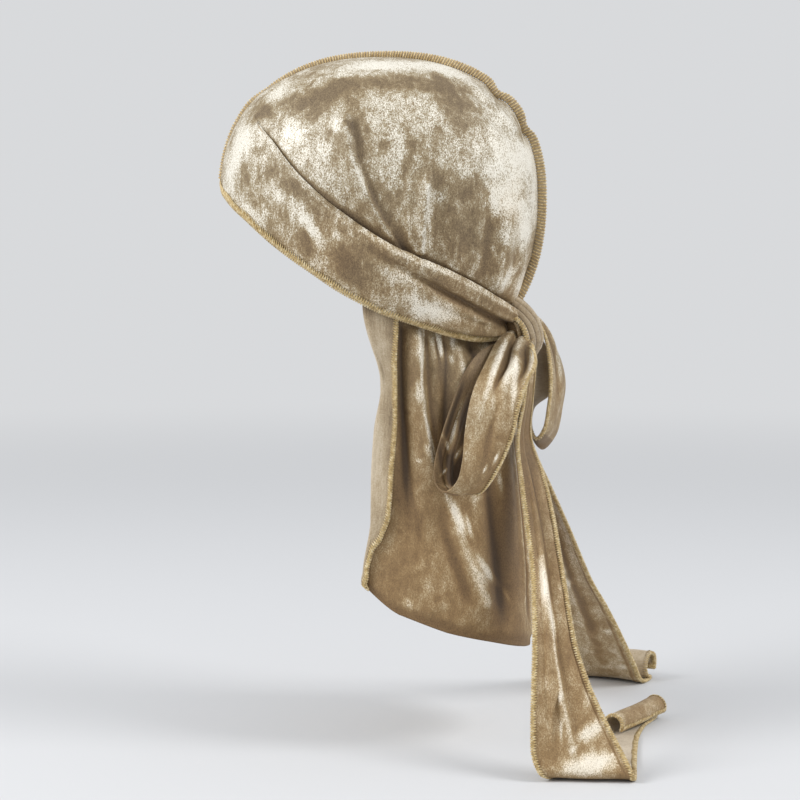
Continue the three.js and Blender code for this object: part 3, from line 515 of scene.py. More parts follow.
def head_radius(d):
    """Distance from the head's centre to the inside of the cap along unit directions."""
    x, y, z = np.moveaxis(d, -1, 0)
    behind = np.maximum(0, y / (np.abs(x) + np.abs(y) + 1e-9))
    deep = np.where(z > 0, HEAD["top"], HEAD["below"] + (HEAD["nape"] - HEAD["below"]) * behind)
    long = np.where(y < 0, HEAD["front"], HEAD["back"])
    n = HEAD["round"]
    shares = np.abs(x / HEAD["side"]) ** n + np.abs(y / long) ** n + np.abs(z / deep) ** n
    return shares ** (-1 / n)


def band_direction(turn, height):
    """Unit directions from the head's centre, by angles round the band's plane and above it."""
    turn, height = np.radians(turn)[..., None], np.radians(height)[..., None]
    side = np.array([1.0, 0, 0])
    return np.cos(height) * (np.cos(turn) * FORWARD + np.sin(turn) * side) + np.sin(height) * UP


def seam_direction(angle):
    """Unit directions over the head at x = 0, by angles from straight ahead."""
    angle = np.radians(angle)
    return np.stack([0 * angle, -np.cos(angle), np.sin(angle)], -1)


def on_head(d, offset):
    """Points at an offset from the inside of the cap along unit directions."""
    return d * (head_radius(d) + offset)[..., None] + HEAD_CENTRE


def between(a, b, t):
    """The great circle from one unit direction to another."""
    angle = np.arccos(np.clip((a * b).sum(-1), -1, 1))
    small = angle < 1e-5
    whole = np.where(small, 1.0, np.sin(angle))
    wa = np.where(small, 1 - t, np.sin((1 - t) * angle) / whole)
    wb = np.where(small, t, np.sin(t * angle) / whole)
    return unit(a * wa[..., None] + b * wb[..., None])


def fold_line(row, pieces):
    """The curve through a fold's three points, as the ends of so many straight pieces."""
    t = np.linspace(0, 1, pieces + 1)[:, None]
    first, middle, last = (np.array([row[f"x{k}"], row[f"y{k}"]], float) for k in (1, 2, 3))
    bend = 2 * middle - (first + last) / 2
    return (1 - t) ** 2 * first + 2 * t * (1 - t) * bend + t**2 * last


def fold_relief(x, y, folds):
    """Height of folds at points of a cloth, and a mark that is 1 on a crest and -1 in a valley."""
    relief, mark = np.zeros_like(x), np.zeros_like(x)
    pieces, least = 10, 1e-3
    for row in folds.rows:
        line = fold_line(row, pieces)
        gap, side, along = np.full(x.shape, 1e9), np.zeros_like(x), np.zeros_like(x)
        for k in range(pieces):
            (ax, ay), (dx, dy) = line[k], line[k + 1] - line[k]
            t = np.clip(((x - ax) * dx + (y - ay) * dy) / (dx * dx + dy * dy), 0, 1)
            ex, ey = x - ax - t * dx, y - ay - t * dy
            near = np.hypot(ex, ey)
            closer = near < gap
            gap = np.where(closer, near, gap)
            side = np.where(closer, np.sign(ex), side)
            along = np.where(closer, (k + t) / pieces, along)
        fade = smooth(0, max(row["start"], least), along + least)
        fade = fade * smooth(0, max(row["end"], least), 1 - along + least)
        width = np.where(side < 0, row["before"], row["after"])
        relief = relief + row["height"] * fade * bell(gap / width)
        crest = min(row["before"], row["after"]) * 0.6
        strength = np.sign(row["height"]) * min(1, abs(row["height"]) / 3)
        mark = mark + strength * fade * bell(gap / crest)
    return relief, mark


def fold_painted_light(mark):
    """Painted highlight on a crest and painted shade in a valley, the shade stronger than the highlight."""
    return 0.2 * mark + 0.35 * np.minimum(mark, 0)


def crushed(points, marks):
    """How much lighter or darker a cloth is at its points: marks of crushed pile, with painted highlights
    and painted shade among them.
    """
    y, z = points[..., 1], points[..., 2]
    shade = np.zeros_like(y)
    for row in marks.rows:
        turn = math.radians(row["turn"])
        dy, dz = y - row["y"], z - row["z"]
        along = (dy * math.cos(turn) + dz * math.sin(turn)) / row["long"]
        aside = (dz * math.cos(turn) - dy * math.sin(turn)) / row["wide"]
        shade = shade + row["shade"] * np.exp(-((along**2 + aside**2) ** 1.4))
    return shade


# ---- Cloth ----


def normals(points):
    """Unit normals of a grid of points."""
    return unit(np.cross(np.gradient(points, axis=0), np.gradient(points, axis=1)))


def faces_out(points, centre, axes=(1, 1, 1)):
    """Whether a grid's normals point away from a centre, along these axes."""
    return (normals(points) * (points - centre) * np.array(axes)).sum(-1).mean() >= 0


def distances(line):
    """Distance along a line of each of its points."""
    return np.concatenate([[0], np.cumsum(np.linalg.norm(np.diff(line, axis=0), axis=-1))])


def lengths(points, axis):
    """Distances along a grid's middle line, in metres."""
    return distances(np.take(points, points.shape[1 - axis] // 2, axis=1 - axis)) * MM


def link(name, data):
    """A new object of the scene with this data."""
    piece = bpy.data.objects.new(name, data)
    bpy.context.scene.collection.objects.link(piece)
    return piece


def finished(bm, name, *materials, flat=False):
    """A piece with these materials, from a mesh under construction."""
    for face in bm.faces:
        face.smooth = not flat
    mesh = bpy.data.meshes.new(name)
    bm.to_mesh(mesh)
    bm.free()
    for finish in materials:
        mesh.materials.append(finish)
    return link(name, mesh)


def fill_grid(bm, points):
    """Makes a grid of faces through points in mm, and tells each vertex's column and row."""
    last_column, last_row = points.shape[0] - 1, points.shape[1] - 1
    bmesh.ops.create_grid(bm, x_segments=last_column, y_segments=last_row, size=0.5)
    places = {}
    for vert in bm.verts:
        place = round((vert.co.x + 0.5) * last_column), round((vert.co.y + 0.5) * last_row)
        places[vert] = place
        vert.co = points[place] * MM
    return places


def cloth(name, points, tone, materials, thickness, offset=-1.0, under=None):
    """A sheet of cloth through a grid of points in mm, with the tones of its right and wrong side."""
    bm = bmesh.new()
    uv, shade = bm.loops.layers.uv.new("cut"), bm.verts.layers.float.new("tone")
    wrong = bm.verts.layers.float.new("under")
    along, across = lengths(points, 0), lengths(points, 1)
    places = fill_grid(bm, points)
    for vert, place in places.items():
        vert[shade] = tone[place]
        vert[wrong] = 0 if under is None else under[place]
    for face in bm.faces:
        for corner in face.loops:
            i, j = places[corner.vert]
            corner[uv].uv = along[i], across[j]
    bmesh.ops.remove_doubles(bm, verts=bm.verts, dist=1e-5)
    piece = finished(bm, name, *materials)
    wall = piece.modifiers.new("Thickness", "SOLIDIFY")
    wall.thickness = thickness * MM
    wall.offset = offset
    wall.material_offset = 1
    wall.material_offset_rim = 1
    return piece


def thread_path(name, paths, radius):
    """Threads along paths in mm, as one mesh that rides on the part."""
    curve = bpy.data.curves.new(name, "CURVE")
    curve.dimensions = "3D"
    curve.bevel_depth = radius * MM
    curve.bevel_resolution = 1
    curve.use_fill_caps = True
    for path in paths:
        line = curve.splines.new("POLY")
        line.points.add(len(path) - 1)
        flat = np.concatenate([path * MM, np.ones((len(path), 1))], 1)
        line.points.foreach_set("co", flat.ravel())
        line.use_smooth = True
    maker = link(name + "_path", curve)
    mesh = bpy.data.meshes.new_from_object(maker.evaluated_get(bpy.context.evaluated_depsgraph_get()))
    bpy.data.objects.remove(maker)
    bpy.data.curves.remove(curve)
    mesh.name = name
    mesh.materials.clear()
    mesh.materials.append(material("thread"))
    mesh.shade_smooth()
    piece = link(name, mesh)
    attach(piece, "root")
    return piece


def resample(values, distance, wanted):
    """Values that are known at distances, read at others."""
    return np.stack([np.interp(wanted, distance, values[:, k]) for k in range(values.shape[1])], -1)


def overlock(edge, inward, normal, pitch, width, rise):
    """The path of an overlock thread: it crosses both faces of the cloth and goes round its edge.

    The width may be one number or one for each point of the edge.
    """
    distance = distances(edge)
    count = max(int(distance[-1] / pitch), 2)
    share, reach, lift = STITCH["share"], STITCH["reach"], STITCH["lift"]
    k = np.arange(count)[:, None]
    uneven = 1 + 0.09 * np.sin(k * 12.9898 + share * 7.1)
    s = ((k + share) * pitch).ravel()
    width = np.interp(s, distance, width * np.ones(len(edge)))
    depth = ((reach * uneven).ravel() * width)[:, None]
    height = (lift * rise * np.ones_like(k)).ravel()[:, None]
    at = resample(edge, distance, s)
    return at + unit(resample(inward, distance, s)) * depth + unit(resample(normal, distance, s)) * height


def edge_frames(points, side):
    """Edge line, inward directions and normals of one side of a grid: top, foot, start or end."""
    grid = points if side in ("top", "foot") else points.swapaxes(0, 1)
    facing = normals(points) if side in ("top", "foot") else normals(points).swapaxes(0, 1)
    # The normals are read one row in, where no fold of the edge turns them.
    edge, normal, inner = (-1, -2, -3) if side in ("foot", "end") else (0, 1, 2)
    return grid[:, edge], unit(grid[:, inner] - grid[:, edge]), facing[:, normal]


# ---- Materials ----


class Shade:
    """A socket that takes part in sums and products with numbers and other sockets."""

    def __init__(self, graph, socket):
        self.graph, self.socket = graph, socket

    def math(self, operation, other):
        return self.graph.node("ShaderNodeMath", {"operation": operation}, {0: self, 1: other})[0]

    __add__ = __radd__ = partialmethod(math, "ADD")
    __mul__ = __rmul__ = partialmethod(math, "MULTIPLY")
    __sub__ = partialmethod(math, "SUBTRACT")

    def __rsub__(self, other):
        return (self * -1) + other


class Graph:
    """A material's nodes."""

    def __init__(self, name):
        self.material = bpy.data.materials.new(name)
        self.material.use_nodes = True
        self.tree = self.material.node_tree
        self.tree.nodes.clear()

    def node(self, kind, settings=(), inputs=()):
        """The outputs of a node with its settings, or a ramp's stops, and its sockets' values or links."""
        node = self.tree.nodes.new(kind)
        for name, value in dict(settings).items():
            if name == "stops":
                self.set_stops(node.color_ramp.elements, value)
            else:
                setattr(node, name, value)
        for key, value in dict(inputs).items():
            self.feed(node.inputs[key], value)
        return [Shade(self, output) for output in node.outputs]

    def feed(self, socket, value):
        """Links a socket to another one, or gives it a value of its own."""
        if isinstance(value, Shade):
            self.tree.links.new(value.socket, socket)
        else:
            socket.default_value = value

    def coords(self, kind=3):
        """Where a point lies in its object, in metres, or at 2 its place on the flat cloth."""
        return self.node("ShaderNodeTexCoord")[kind]

    def attribute(self, name):
        """A number that each vertex of the mesh holds."""
        return self.node("ShaderNodeAttribute", {"attribute_name": name})[2]

    def set_stops(self, elements, stops):
        """Gives a colour ramp its stops, each a position and a colour."""
        while len(elements) < len(stops):
            elements.new(0.5)
        for element, stop in zip(elements, stops):
            element.position, element.color = stop

    def ramp(self, factor, stops):
        """A colour for each value, read between stops at which the colour is known."""
        return self.node("ShaderNodeValToRGB", {"stops": stops}, {0: factor})[0]

    def noise(self, coords, scale, detail, rough, warp=0.0):
        """Noise with this many patches for each metre."""
        inputs = {"Vector": coords, "Scale": scale, "Detail": detail, "Roughness": rough}
        inputs["Distortion"] = warp
        return self.node("ShaderNodeTexNoise", {"noise_dimensions": "3D"}, inputs)[0]

    def step(self, value, low, high):
        """0 below low, 1 above high and an S between them."""
        inputs = {"Value": value, "From Min": low, "From Max": high, "To Min": 0.0, "To Max": 1.0}
        return self.node("ShaderNodeMapRange", {"interpolation_type": "SMOOTHSTEP"}, inputs)[0]

    def mix(self, factor, a, b, blend="MIX"):
        """Two colours together, the second one in this share."""
        settings = {"data_type": "RGBA", "blend_type": blend}
        return self.node("ShaderNodeMix", settings, {0: factor, 6: a, 7: b})[2]

    def stretch(self, coords, scale):
        """Coordinates times a scale, so that noise on them is longer where the scale is under 1."""
        return self.node("ShaderNodeMapping", {}, {"Vector": coords, "Scale": scale})[0]

    def bump(self, height, strength, distance):
        """Normals for a surface with this height over it."""
        inputs = {"Height": height, "Strength": strength, "Distance": distance}
        return self.node("ShaderNodeBump", {}, inputs)[0]

    def surface(self, **inputs):
        """The material, ended in a Principled shader with these inputs."""
        named = {key.replace("_", " ").title().replace("Ior", "IOR"): inputs[key] for key in inputs}
        shader = self.node("ShaderNodeBsdfPrincipled", {}, named)[0]
        self.node("ShaderNodeOutputMaterial", {}, {0: shader})
        return self.material


def colour(hex_code):
    """Linear red, green and blue of an sRGB colour, and a full alpha."""
    parts = [int(hex_code[i : i + 2], 16) / 255 for i in (1, 3, 5)]
    return (*(p / 12.92 if p <= 0.04045 else ((p + 0.055) / 1.055) ** 2.4 for p in parts), 1.0)


def velvet(name):
    """Crushed velvet: patches of pile laid this way and that, speckled where they meet, with the painted
    highlights and painted shade that the tone attribute carries.
    """
    g = Graph(name)
    coords, tone = g.coords(), g.attribute("tone")
    look = bpy.context.scene.durag_look
    patches = g.noise(coords, look.patch_scale, 4.0, 0.55, 0.8)
    short = g.stretch(coords, (1.0, 1.0, 0.7))
    creases = g.noise(short, look.patch_scale * 4.6, 5.0, 0.7, 0.5)
    streaks = g.noise(g.stretch(coords, (1.0, 1.0, 0.45)), 340.0, 2.0, 0.6)
    pile = g.noise(short, 1500.0, 2.0, 0.8)
    # The ends and the flap, low down, are crushed less than the cap.
    height = g.node("ShaderNodeSeparateXYZ", {}, {0: coords})[2]
    calm = g.step(height * -1, 0.13, 0.20)
    rough = patches * 0.9 + creases * 1.15 + streaks * 0.4 - 1.225
    # The tone attribute moves the pile towards dark or light: crushed-pile marks, with painted highlights on
    # crests and painted shade in valleys and hollows.
    lie = g.step(rough * (1 - calm * 0.45) + tone * 1.4, -0.42, 0.55)
    # The pile's grain shows most where it lies neither flat nor upright.
    grain = 0.8 + lie * lie * (1.15 - lie) * 12.0
    crush = 0.1 + lie * 0.88 + (pile - 0.5) * grain * (1 - calm * 0.35)
    stops = [
        (0.0, look.pile_dark), (0.1, colour("#776449")), (0.3, colour("#907C5B")), (0.5, look.pile_middle),
        (0.66, colour("#C9C0AC")), (0.84, colour("#E3DAC8")), (1.0, look.pile_light),
    ]
    warmth = g.step(g.noise(coords, 17.0, 2.0, 0.5) * 0.6 - height * 1.6, 0.35, 0.80)
    warm = g.mix(warmth * (1 - lie * 0.8), (0.98, 1.0, 1.03, 1), (1.12, 0.96, 0.76, 1))
    base = g.mix(1.0, g.ramp(crush, stops), warm, "MULTIPLY")
    # Painted shade in deep folds and hollows: where the tone falls far below 0, the colour goes towards a
    # fold colour darker than any pile.
    deep = g.step(tone * -1, 0.22, 0.75)
    return g.surface(
        base_color=g.mix(deep * 0.8, base, look.fold),
        roughness=0.62 - lie * 0.2,
        metallic=lie * 0.12,
        normal=g.bump(creases * 0.6 + pile * 0.3 + lie * 0.3, 0.45, 0.0012),
        sheen_weight=0.12,
        sheen_roughness=0.35,
        sheen_tint=colour("#FFF3DD"),
        specular_ior_level=0.45,
    )


def reverse_knit(name):
    """The matte wrong side of velvet: a fine knit with lengthwise ribs."""
    g = Graph(name)
    # The under attribute carries painted highlight and painted shade on the turned-back front of the flap
    # and on the knot's strap.
    uv, coords, tone = g.coords(2), g.coords(), g.attribute("under")
    inputs = {"Vector": uv, "Scale": 420.0, "Distortion": 1.6, "Detail": 2.0, "Detail Scale": 2.0}
    ribs = g.node("ShaderNodeTexWave", {"wave_type": "BANDS", "bands_direction": "X"}, inputs)[1]
    mottle = g.noise(coords, 60.0, 4.0, 0.6)
    fuzz = g.noise(coords, 1300.0, 2.0, 0.6)
    streaks = g.noise(g.stretch(uv, (1.0, 0.12, 1.0)), 700.0, 2.0, 0.6)
    field = mottle * 0.42 + ribs * 0.12 + fuzz * 0.45 + streaks * 0.32
    middle = bpy.context.scene.durag_look.knit
    stops = [(0.0, colour("#75634B")), (0.5, middle), (1.0, colour("#D2C4AC"))]
    return g.surface(
        base_color=g.ramp(g.step(field + tone, 0.15, 0.95), stops),
        roughness=0.9,
        normal=g.bump(ribs * 0.5 + fuzz * 0.5, 0.35, 0.0003),
        sheen_weight=0.3,
        sheen_roughness=0.5,
    )


def thread(name):
    """Glossy overlock thread."""
    g = Graph(name)
    mottle = g.noise(g.coords(), 500.0, 3.0, 0.6)
    middle = bpy.context.scene.durag_look.thread
    base = g.ramp(mottle, [(0.3, colour("#A1824C")), (0.5, middle), (0.7, colour("#F2E3BC"))])
    return g.surface(base_color=base, roughness=0.42, sheen_weight=0.25)


MATERIALS = {
    "velvet": ("Crushed velvet", velvet),
    "reverse": ("Velvet wrong side", reverse_knit),
    "thread": ("Overlock thread", thread),
}


def material(kind):
    """The scene's material of that kind, made once."""
    name, maker = MATERIALS[kind]
    return bpy.data.materials.get(name) or maker(name)


# ---- Shapes ----


def mirrored(points):
    """The same grid on the wearer's other side, with its right side still out."""
    return (points * np.array([-1, 1, 1]))[::-1]


def seam_dip(angle, beside):
    """How deep the seam's buckles press in, at angles over the head and so far beside the seam."""
    return -sum(
        row["depth"] * bell((angle - row["angle"]) / row["half"]) * bell(beside / row["reach"])
        for row in NOTCHES.rows
    )


def cap_rows(crown, face):
    """Rows of a cap half from the seam down: share of the crown, tuck, layer and share of the band."""
    rows = [(1 - (1 - t) ** 1.25, 0, 0, 0) for t in np.linspace(0, 1, crown)]
    rows += [(1, t, 0, 0) for t in (0.5, 1)]
    rows += [(1, t, 0.45, 0) for t in (1, 0.5)]
    rows += [(1, -0.16 * math.sin(a), 0.72 - 0.28 * math.cos(a), 0) for a in np.linspace(0, math.pi, 5)]
    rows += [(1, 0, 1, t) for t in np.linspace(0, 1, face)[1:]]
    return np.array(rows).T


def cap_half(columns, crown, face):
    """Grid of one half of the cap with its band, whose upper fold lies over the crown, and its tone."""
    s = np.linspace(0, 1, columns)[:, None]
    t, tuck, layer, down = (row[None, :] for row in cap_rows(crown, face))
    angle = SEAM_FROM + (SEAM_TO - SEAM_FROM) * s + 0 * t
    turn = BAND_END * s + 0 * t
    low, high = (BAND.read(turn, name) for name in ("low", "high"))
    depth = 5.0 * smooth(32, 50, turn)
    height = high - depth * tuck + (low - high) * down
    on_band = (t >= 1) & (tuck + layer + down != 0) | (down > 0)
    crown_d = between(seam_direction(angle), band_direction(turn, high), t + 0 * s)
    d = np.where(on_band[..., None], band_direction(turn, height), crown_d)
    base = on_head(d, 0 * turn)
    # The crown puffs out between the seam and the band, and is creased where the band presses on it.
    relief, mark = fold_relief(base[..., 1], base[..., 2], CROWN_FOLDS)
    near_band = smooth(0.86, 1.0, t + 0 * s)
    puff = 2.2 * smooth(0.2, 0.6, s) * smooth(0.2, 0.7, t) * (1 - 0.8 * near_band)
    flush = LAP * (1 - smooth(0.15, 0.24, s)) * np.maximum(smooth(0.35, 0.7, t), 1 - smooth(0, 0.12, s))
    beside = np.abs(d[..., 0]) * head_radius(d)
    crease = smooth(0.18, 0.28, s) * bell((1 - t) * 105 / 2.6)
    crown_off = CLOTH + relief * (1 - 0.55 * near_band) + puff + flush + seam_dip(angle, beside)
    crown_off = crown_off - 0.6 * crease
    # The band swells over its rolled upper fold and lifts off the crown behind the ear.
    groove = ROLL.read(turn, "depth") * bell((height - ROLL.read(turn, "height")) / 1.2)
    band_relief, band_mark = fold_relief(turn, height, BAND_FOLDS)
    swell = BAND.read(turn, "belly") * np.sin(0.80 * np.pi * np.clip(down, 0, 1)) ** 0.6
    swell = swell + 1.3 * smooth(36, 60, turn) * bell(down / 0.16) * smooth(0, 0.02, down)
    edge_in = smooth(0, 0.06, down) * smooth(0, 0.06, 1 - down)
    end = crown_off[:, crown - 1 : crown]
    over = np.maximum(end - CLOTH, 0) * smooth(0.17, 0.26, s) * (1 - smooth(0, 0.4, down))
    band_base = CLOTH + LAP + BAND.read(turn, "lift") + over
    band_off = band_base + swell - groove + band_relief * edge_in
    folded = end * (1 - layer) + band_base * layer
    off = np.where(down > 0, band_off, np.where(on_band, folded, crown_off))
    points = on_head(d, off)
    points[..., 0] = np.maximum(points[..., 0], 0) + 0.18
    # Painted light: on the band, a painted highlight along the edge of its upper fold, painted shade in the
    # groove under the rolled fold and a little below it, and painted highlights on the crests and painted
    # shade in the valleys of its folds; on the crown, the same on its folds, and painted shade in the crease
    # under the band.
    edge_light = 0.12 * smooth(36, 60, turn) * bell((down - 0.015) / 0.025) * on_band
    painted_roll_shade = 0.10 * smooth(80, 110, turn) * bell((down - 0.14) / 0.1) * on_band
    band_tone = 0.12 * band_mark - 0.075 * groove + edge_light - painted_roll_shade
    tone = np.where(on_band, band_tone, 0.2 * mark - 0.5 * crease)
    # Crushed-pile marks, with painted highlights and painted shade among them.
    tone = tone + 0.4 * crushed(base, CAP_MARKS)
    # Painted shade on the back of the cap, near its centre line.
    tone = tone - 0.16 * bell(base[..., 0] / 34) * smooth(30, 66, base[..., 1])
    return points, tone


def flap_grid(columns, rows, turned):
    """Grid of the flap's left half from its front edge to the centre of the back, and its tone."""
    across = np.linspace(0, 1, columns)[:, None]
    tuck, axis = FLAP["tuck"], FLAP["axis"]
    down = np.concatenate([[0], np.linspace(tuck, 1, rows)])[None, :]

    def middle(around, down):
        """Points of the flap at shares of the way round and down, and their tone."""
        turn = FLAP["from"] + (BAND_END - FLAP["from"]) * around
        under = np.minimum(down / tuck, 1)
        low, high = (BAND.read(np.minimum(turn, BAND_END), name) for name in ("low", "high"))
        head = 0.55 * low + 0.45 * high - 1.4
        top = on_head(band_direction(turn, head + (low - 2 - head) * under), 0.8 + 0 * turn * under)
        drop = np.clip((down - tuck) / (1 - tuck), 0, 1)
        z = top[..., 2] + (HEM.read(around, "z") - top[..., 2]) * drop
        side, back, front = (FLAP_LEVELS.read(z, name) for name in ("side", "back", "front"))
        deep = back - axis
        start = np.arcsin(np.clip((front - axis) / deep, -1, 1))
        angle = start + (np.pi / 2 - start) * around
        power = 2 / FLAP["round"]
        x = side * np.abs(np.cos(angle)) ** power
        y = axis + deep * np.sign(angle) * np.abs(np.sin(angle)) ** power
        fall = smooth(0, 0.28 - 0.18 * around, drop)
        x, y = top[..., 0] + (x - top[..., 0]) * fall, top[..., 1] + (y - top[..., 1]) * fall
        p = np.stack([x, y, z], -1)
        out = unit(np.stack([x / FLAP["side"], (y - axis) / FLAP["deep"], 0 * z], -1))
        round_it = FLAP["mean"] * np.arctan2(y - axis, np.abs(x))
        relief, mark = fold_relief(round_it, p[..., 2], FLAP_FOLDS)
        grow = smooth(0.0, 0.06, drop)
        p = p + out * (relief * grow)[..., None]
        hem = smooth(0.95, 0.99, drop)
        p = p - out * (2.0 * hem)[..., None]
        # The tone: painted highlights on the crests and painted shade in the valleys of the folds, and
        # crushed-pile marks with painted highlights and painted shade among them, faded out near x = 0.
        beside = smooth(6, 38, np.abs(p[..., 0]))
        pile = 0.4 * crushed(p, FLAP_MARKS) * beside
        return p, fold_painted_light(mark) * grow + pile - 0.2 * hem + 0.08 * (1 - beside)

    points, mark = middle(across, down)
    if turned:
        # The front rows go on round a bend at the front fold and then back along the outside.
        step = 1e-3
        here, _ = middle(np.zeros((1, 1)), down)
        onward = unit(middle(np.full((1, 1), step), down)[0] - here)
        lower = unit(np.gradient(here, axis=1))
        out = unit(np.cross(onward, lower))
        out = out * np.sign(out[..., :1] * here[..., :1] + out[..., 1:2] * (here[..., 1:2] - axis))
        share = np.linspace(1, 0, FLAP["turned"] + 1)[:-1, None]
        radius = FLAP["bend"]
        reach = (LAPEL_EDGE.read(here[..., 2], "y") - here[..., 1]) / np.maximum(onward[..., 1], 0.3)
        length = share * np.maximum(reach + np.pi * radius, 2.0)
        angle = np.minimum(np.pi, length / radius)
        rest = np.maximum(0, length - np.pi * radius)
        puff = 0.8 * np.sin(np.pi * share) * np.sin(here[..., 2] / 9.0)
        turned_points = (
            here
            + onward * (-radius * np.sin(angle) + rest)[..., None]
            + out * (radius - radius * np.cos(angle) + puff * (rest > 0))[..., None]
        )
        points = np.concatenate([turned_points, points])
        # Painted light on the turned-back front: lighter towards its bend as a painted highlight, darker
        # towards its free edge as painted shade, and a painted shadow near its top.
        lapel_painted_light = 0.16 - 0.34 * share + 0.06 * np.sin(here[..., 2] / 13 + 3 * share)
        lapel_painted_light = lapel_painted_light - 0.5 * bell((share - 0.25) / 0.2) * bell((here[..., 2] + 146) / 14)
        mark = np.concatenate([lapel_painted_light + 0 * turned_points[..., 0], mark])
    return points, mark


def spline(points, at):
    """Centripetal Catmull-Rom through points, at shares from 0 to 1 of its rows."""
    spans = len(points) - 1
    wide = lengthened(points)
    place = np.clip(at, 0, 1) * spans
    i = np.minimum(place.astype(int), spans - 1)
    t = (place - i)[:, None]
    p0, p1, p2, p3 = (wide[i + k] for k in range(4))
    d0, d1, d2 = (np.maximum(np.linalg.norm(b - a, axis=-1, keepdims=True) ** 0.5, 1e-4)
                  for a, b in ((p0, p1), (p1, p2), (p2, p3)))
    m1 = ((p1 - p0) / d0 - (p2 - p0) / (d0 + d1) + (p2 - p1) / d1) * d1
    m2 = ((p2 - p1) / d1 - (p3 - p1) / (d1 + d2) + (p3 - p2) / d2) * d1
    return cubic(t, p1, p2, m1, m2)


def rolled(roll):
    """Rows of an end that rolls up from a line on the floor."""
    (ax, ay), (bx, by), radius = roll["a"], roll["b"], roll["radius"]
    width = math.hypot(bx - ax, by - ay)
    out_x, out_y = -(by - ay) / width, (bx - ax) / width
    rows = []
    for degrees in np.linspace(0, 300, 13):
        go = radius * math.sin(math.radians(degrees))
        z = LYING + radius * (1 - math.cos(math.radians(degrees)))
        rows.append((ax + go * out_x, ay + go * out_y, z, bx + go * out_x, by + go * out_y, z, 0))
    return rows


def ribbon_grid(table, folds, columns, rows, roll=None, wave=0.0, bulge_scale=1.0):
    """Grid of a ribbon through its sections, with its folds, and its tone."""
    sections = [tuple(row.values()) for row in table.rows] + (rolled(roll) if roll else [])
    sections = np.array(sections, float)
    left, right, bulge = sections[:, :3], sections[:, 3:6], sections[:, 6]
    at = np.linspace(0, 1, columns)
    a, b = spline(left, at), spline(right, at)
    v = np.linspace(0, 1, rows)[None, :, None]
    flat = a[:, None] * (1 - v) + b[:, None] * v
    out = normals(flat)[:, rows // 2][:, None]
    belly = np.interp(at * (len(sections) - 1), np.arange(len(sections)), bulge)[:, None]
    u, w = at[:, None] + 0 * v[..., 0], v[..., 0] + 0 * at[:, None]
    relief, mark = fold_relief(w, u, folds)
    ripple = wave * np.sin(w * 9 + u * 23) * smooth(0, 0.15, u)
    height = belly * bulge_scale * np.sin(np.pi * w) + relief + ripple
    return flat + out * height[..., None], fold_painted_light(mark)


# ---- Settings and operators ----


def quantity(name, description, default, subtype="DISTANCE", **limits):
    """A setting that is a length in metres or an angle in radians."""
    unit_of = {"DISTANCE": "LENGTH", "ANGLE": "ROTATION"}
    return bpy.props.FloatProperty(
        name=name, description=description, default=default, subtype=subtype, unit=unit_of[subtype], **limits
    )


def paint(name, description, default):
    """A setting that is a colour."""
    return bpy.props.FloatVectorProperty(
        name=name, description=description, default=default, subtype="COLOR", size=4, min=0, max=1
    )


class DuragLook(bpy.types.PropertyGroup):
    """Sizes and finish of the durag's cloth and threads."""

    thickness: quantity("Cloth thickness", "Thickness of the velvet", 0.0012, min=0.0005, max=0.003)
    stitch_pitch: quantity(
        "Stitch pitch", "Distance between overlock stitches", 0.0015, min=0.0008, max=0.004
    )
    stitch_width: quantity(
        "Stitch width", "Reach of an overlock stitch in from the edge", 0.0027, min=0.001, max=0.006
    )
    thread_radius: quantity(
        "Thread radius", "Radius of the overlock thread", 0.00032, min=0.0001, max=0.0008
    )
    patch_scale: bpy.props.FloatProperty(
        name="Patch scale", description="Crushed patches for each metre", default=27.0, min=5, max=100
    )
    pile_dark: paint("Dark pile", "Velvet whose pile leans away from the light", colour("#5E4C36"))
    pile_middle: paint("Middle pile", "Velvet between its dark and its light", colour("#AFA083"))
    pile_light: paint("Light pile", "Velvet whose pile leans into the light", colour("#F3ECDC"))
    # Colour of the painted shade in deep folds.
    fold: paint("Deep folds", "The bottom of deep folds", colour("#3B2B1C"))
    knit: paint("Wrong side", "The knit on the wrong side of the velvet", colour("#AB987B"))
    thread: paint("Thread", "The overlock thread", colour("#D0B67D"))


class DuragStage(bpy.types.PropertyGroup):
    """Where the camera stands, and the colours of the floor and the backdrop."""

    azimuth: quantity(
        "Camera azimuth", "Angle of the camera round the durag from the brow", math.radians(97), "ANGLE"
    )
    elevation: quantity(
        "Camera elevation", "Angle of the camera above the horizon", math.radians(4.6), "ANGLE"
    )
    distance: quantity("Camera distance", "Distance of the camera from the durag's middle", 1.3)
    floor: paint("Floor", "The matt floor", (0.66, 0.667, 0.68, 1.0))
    backdrop: paint("Backdrop", "The pale light all round", (0.69, 0.70, 0.715, 1.0))


def stitches(name, runs, look, width=None):
    """Overlock stitches along several edges of a piece, as one mesh that rides on the part."""
    width = look.stitch_width / MM if width is None else width
    rise = look.thickness / MM / 2 + look.thread_radius / MM
    paths = []
    for edge, inward, normal in runs:
        middle = edge - normal * look.thickness / MM / 2
        paths.append(overlock(middle, inward, normal, look.stitch_pitch / MM, width, rise))
    return thread_path(name, paths, look.thread_radius / MM)


def dress(piece, nodes):
    """Puts a piece in place of CAD nodes."""
    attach(piece, "root")
    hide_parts(*nodes)


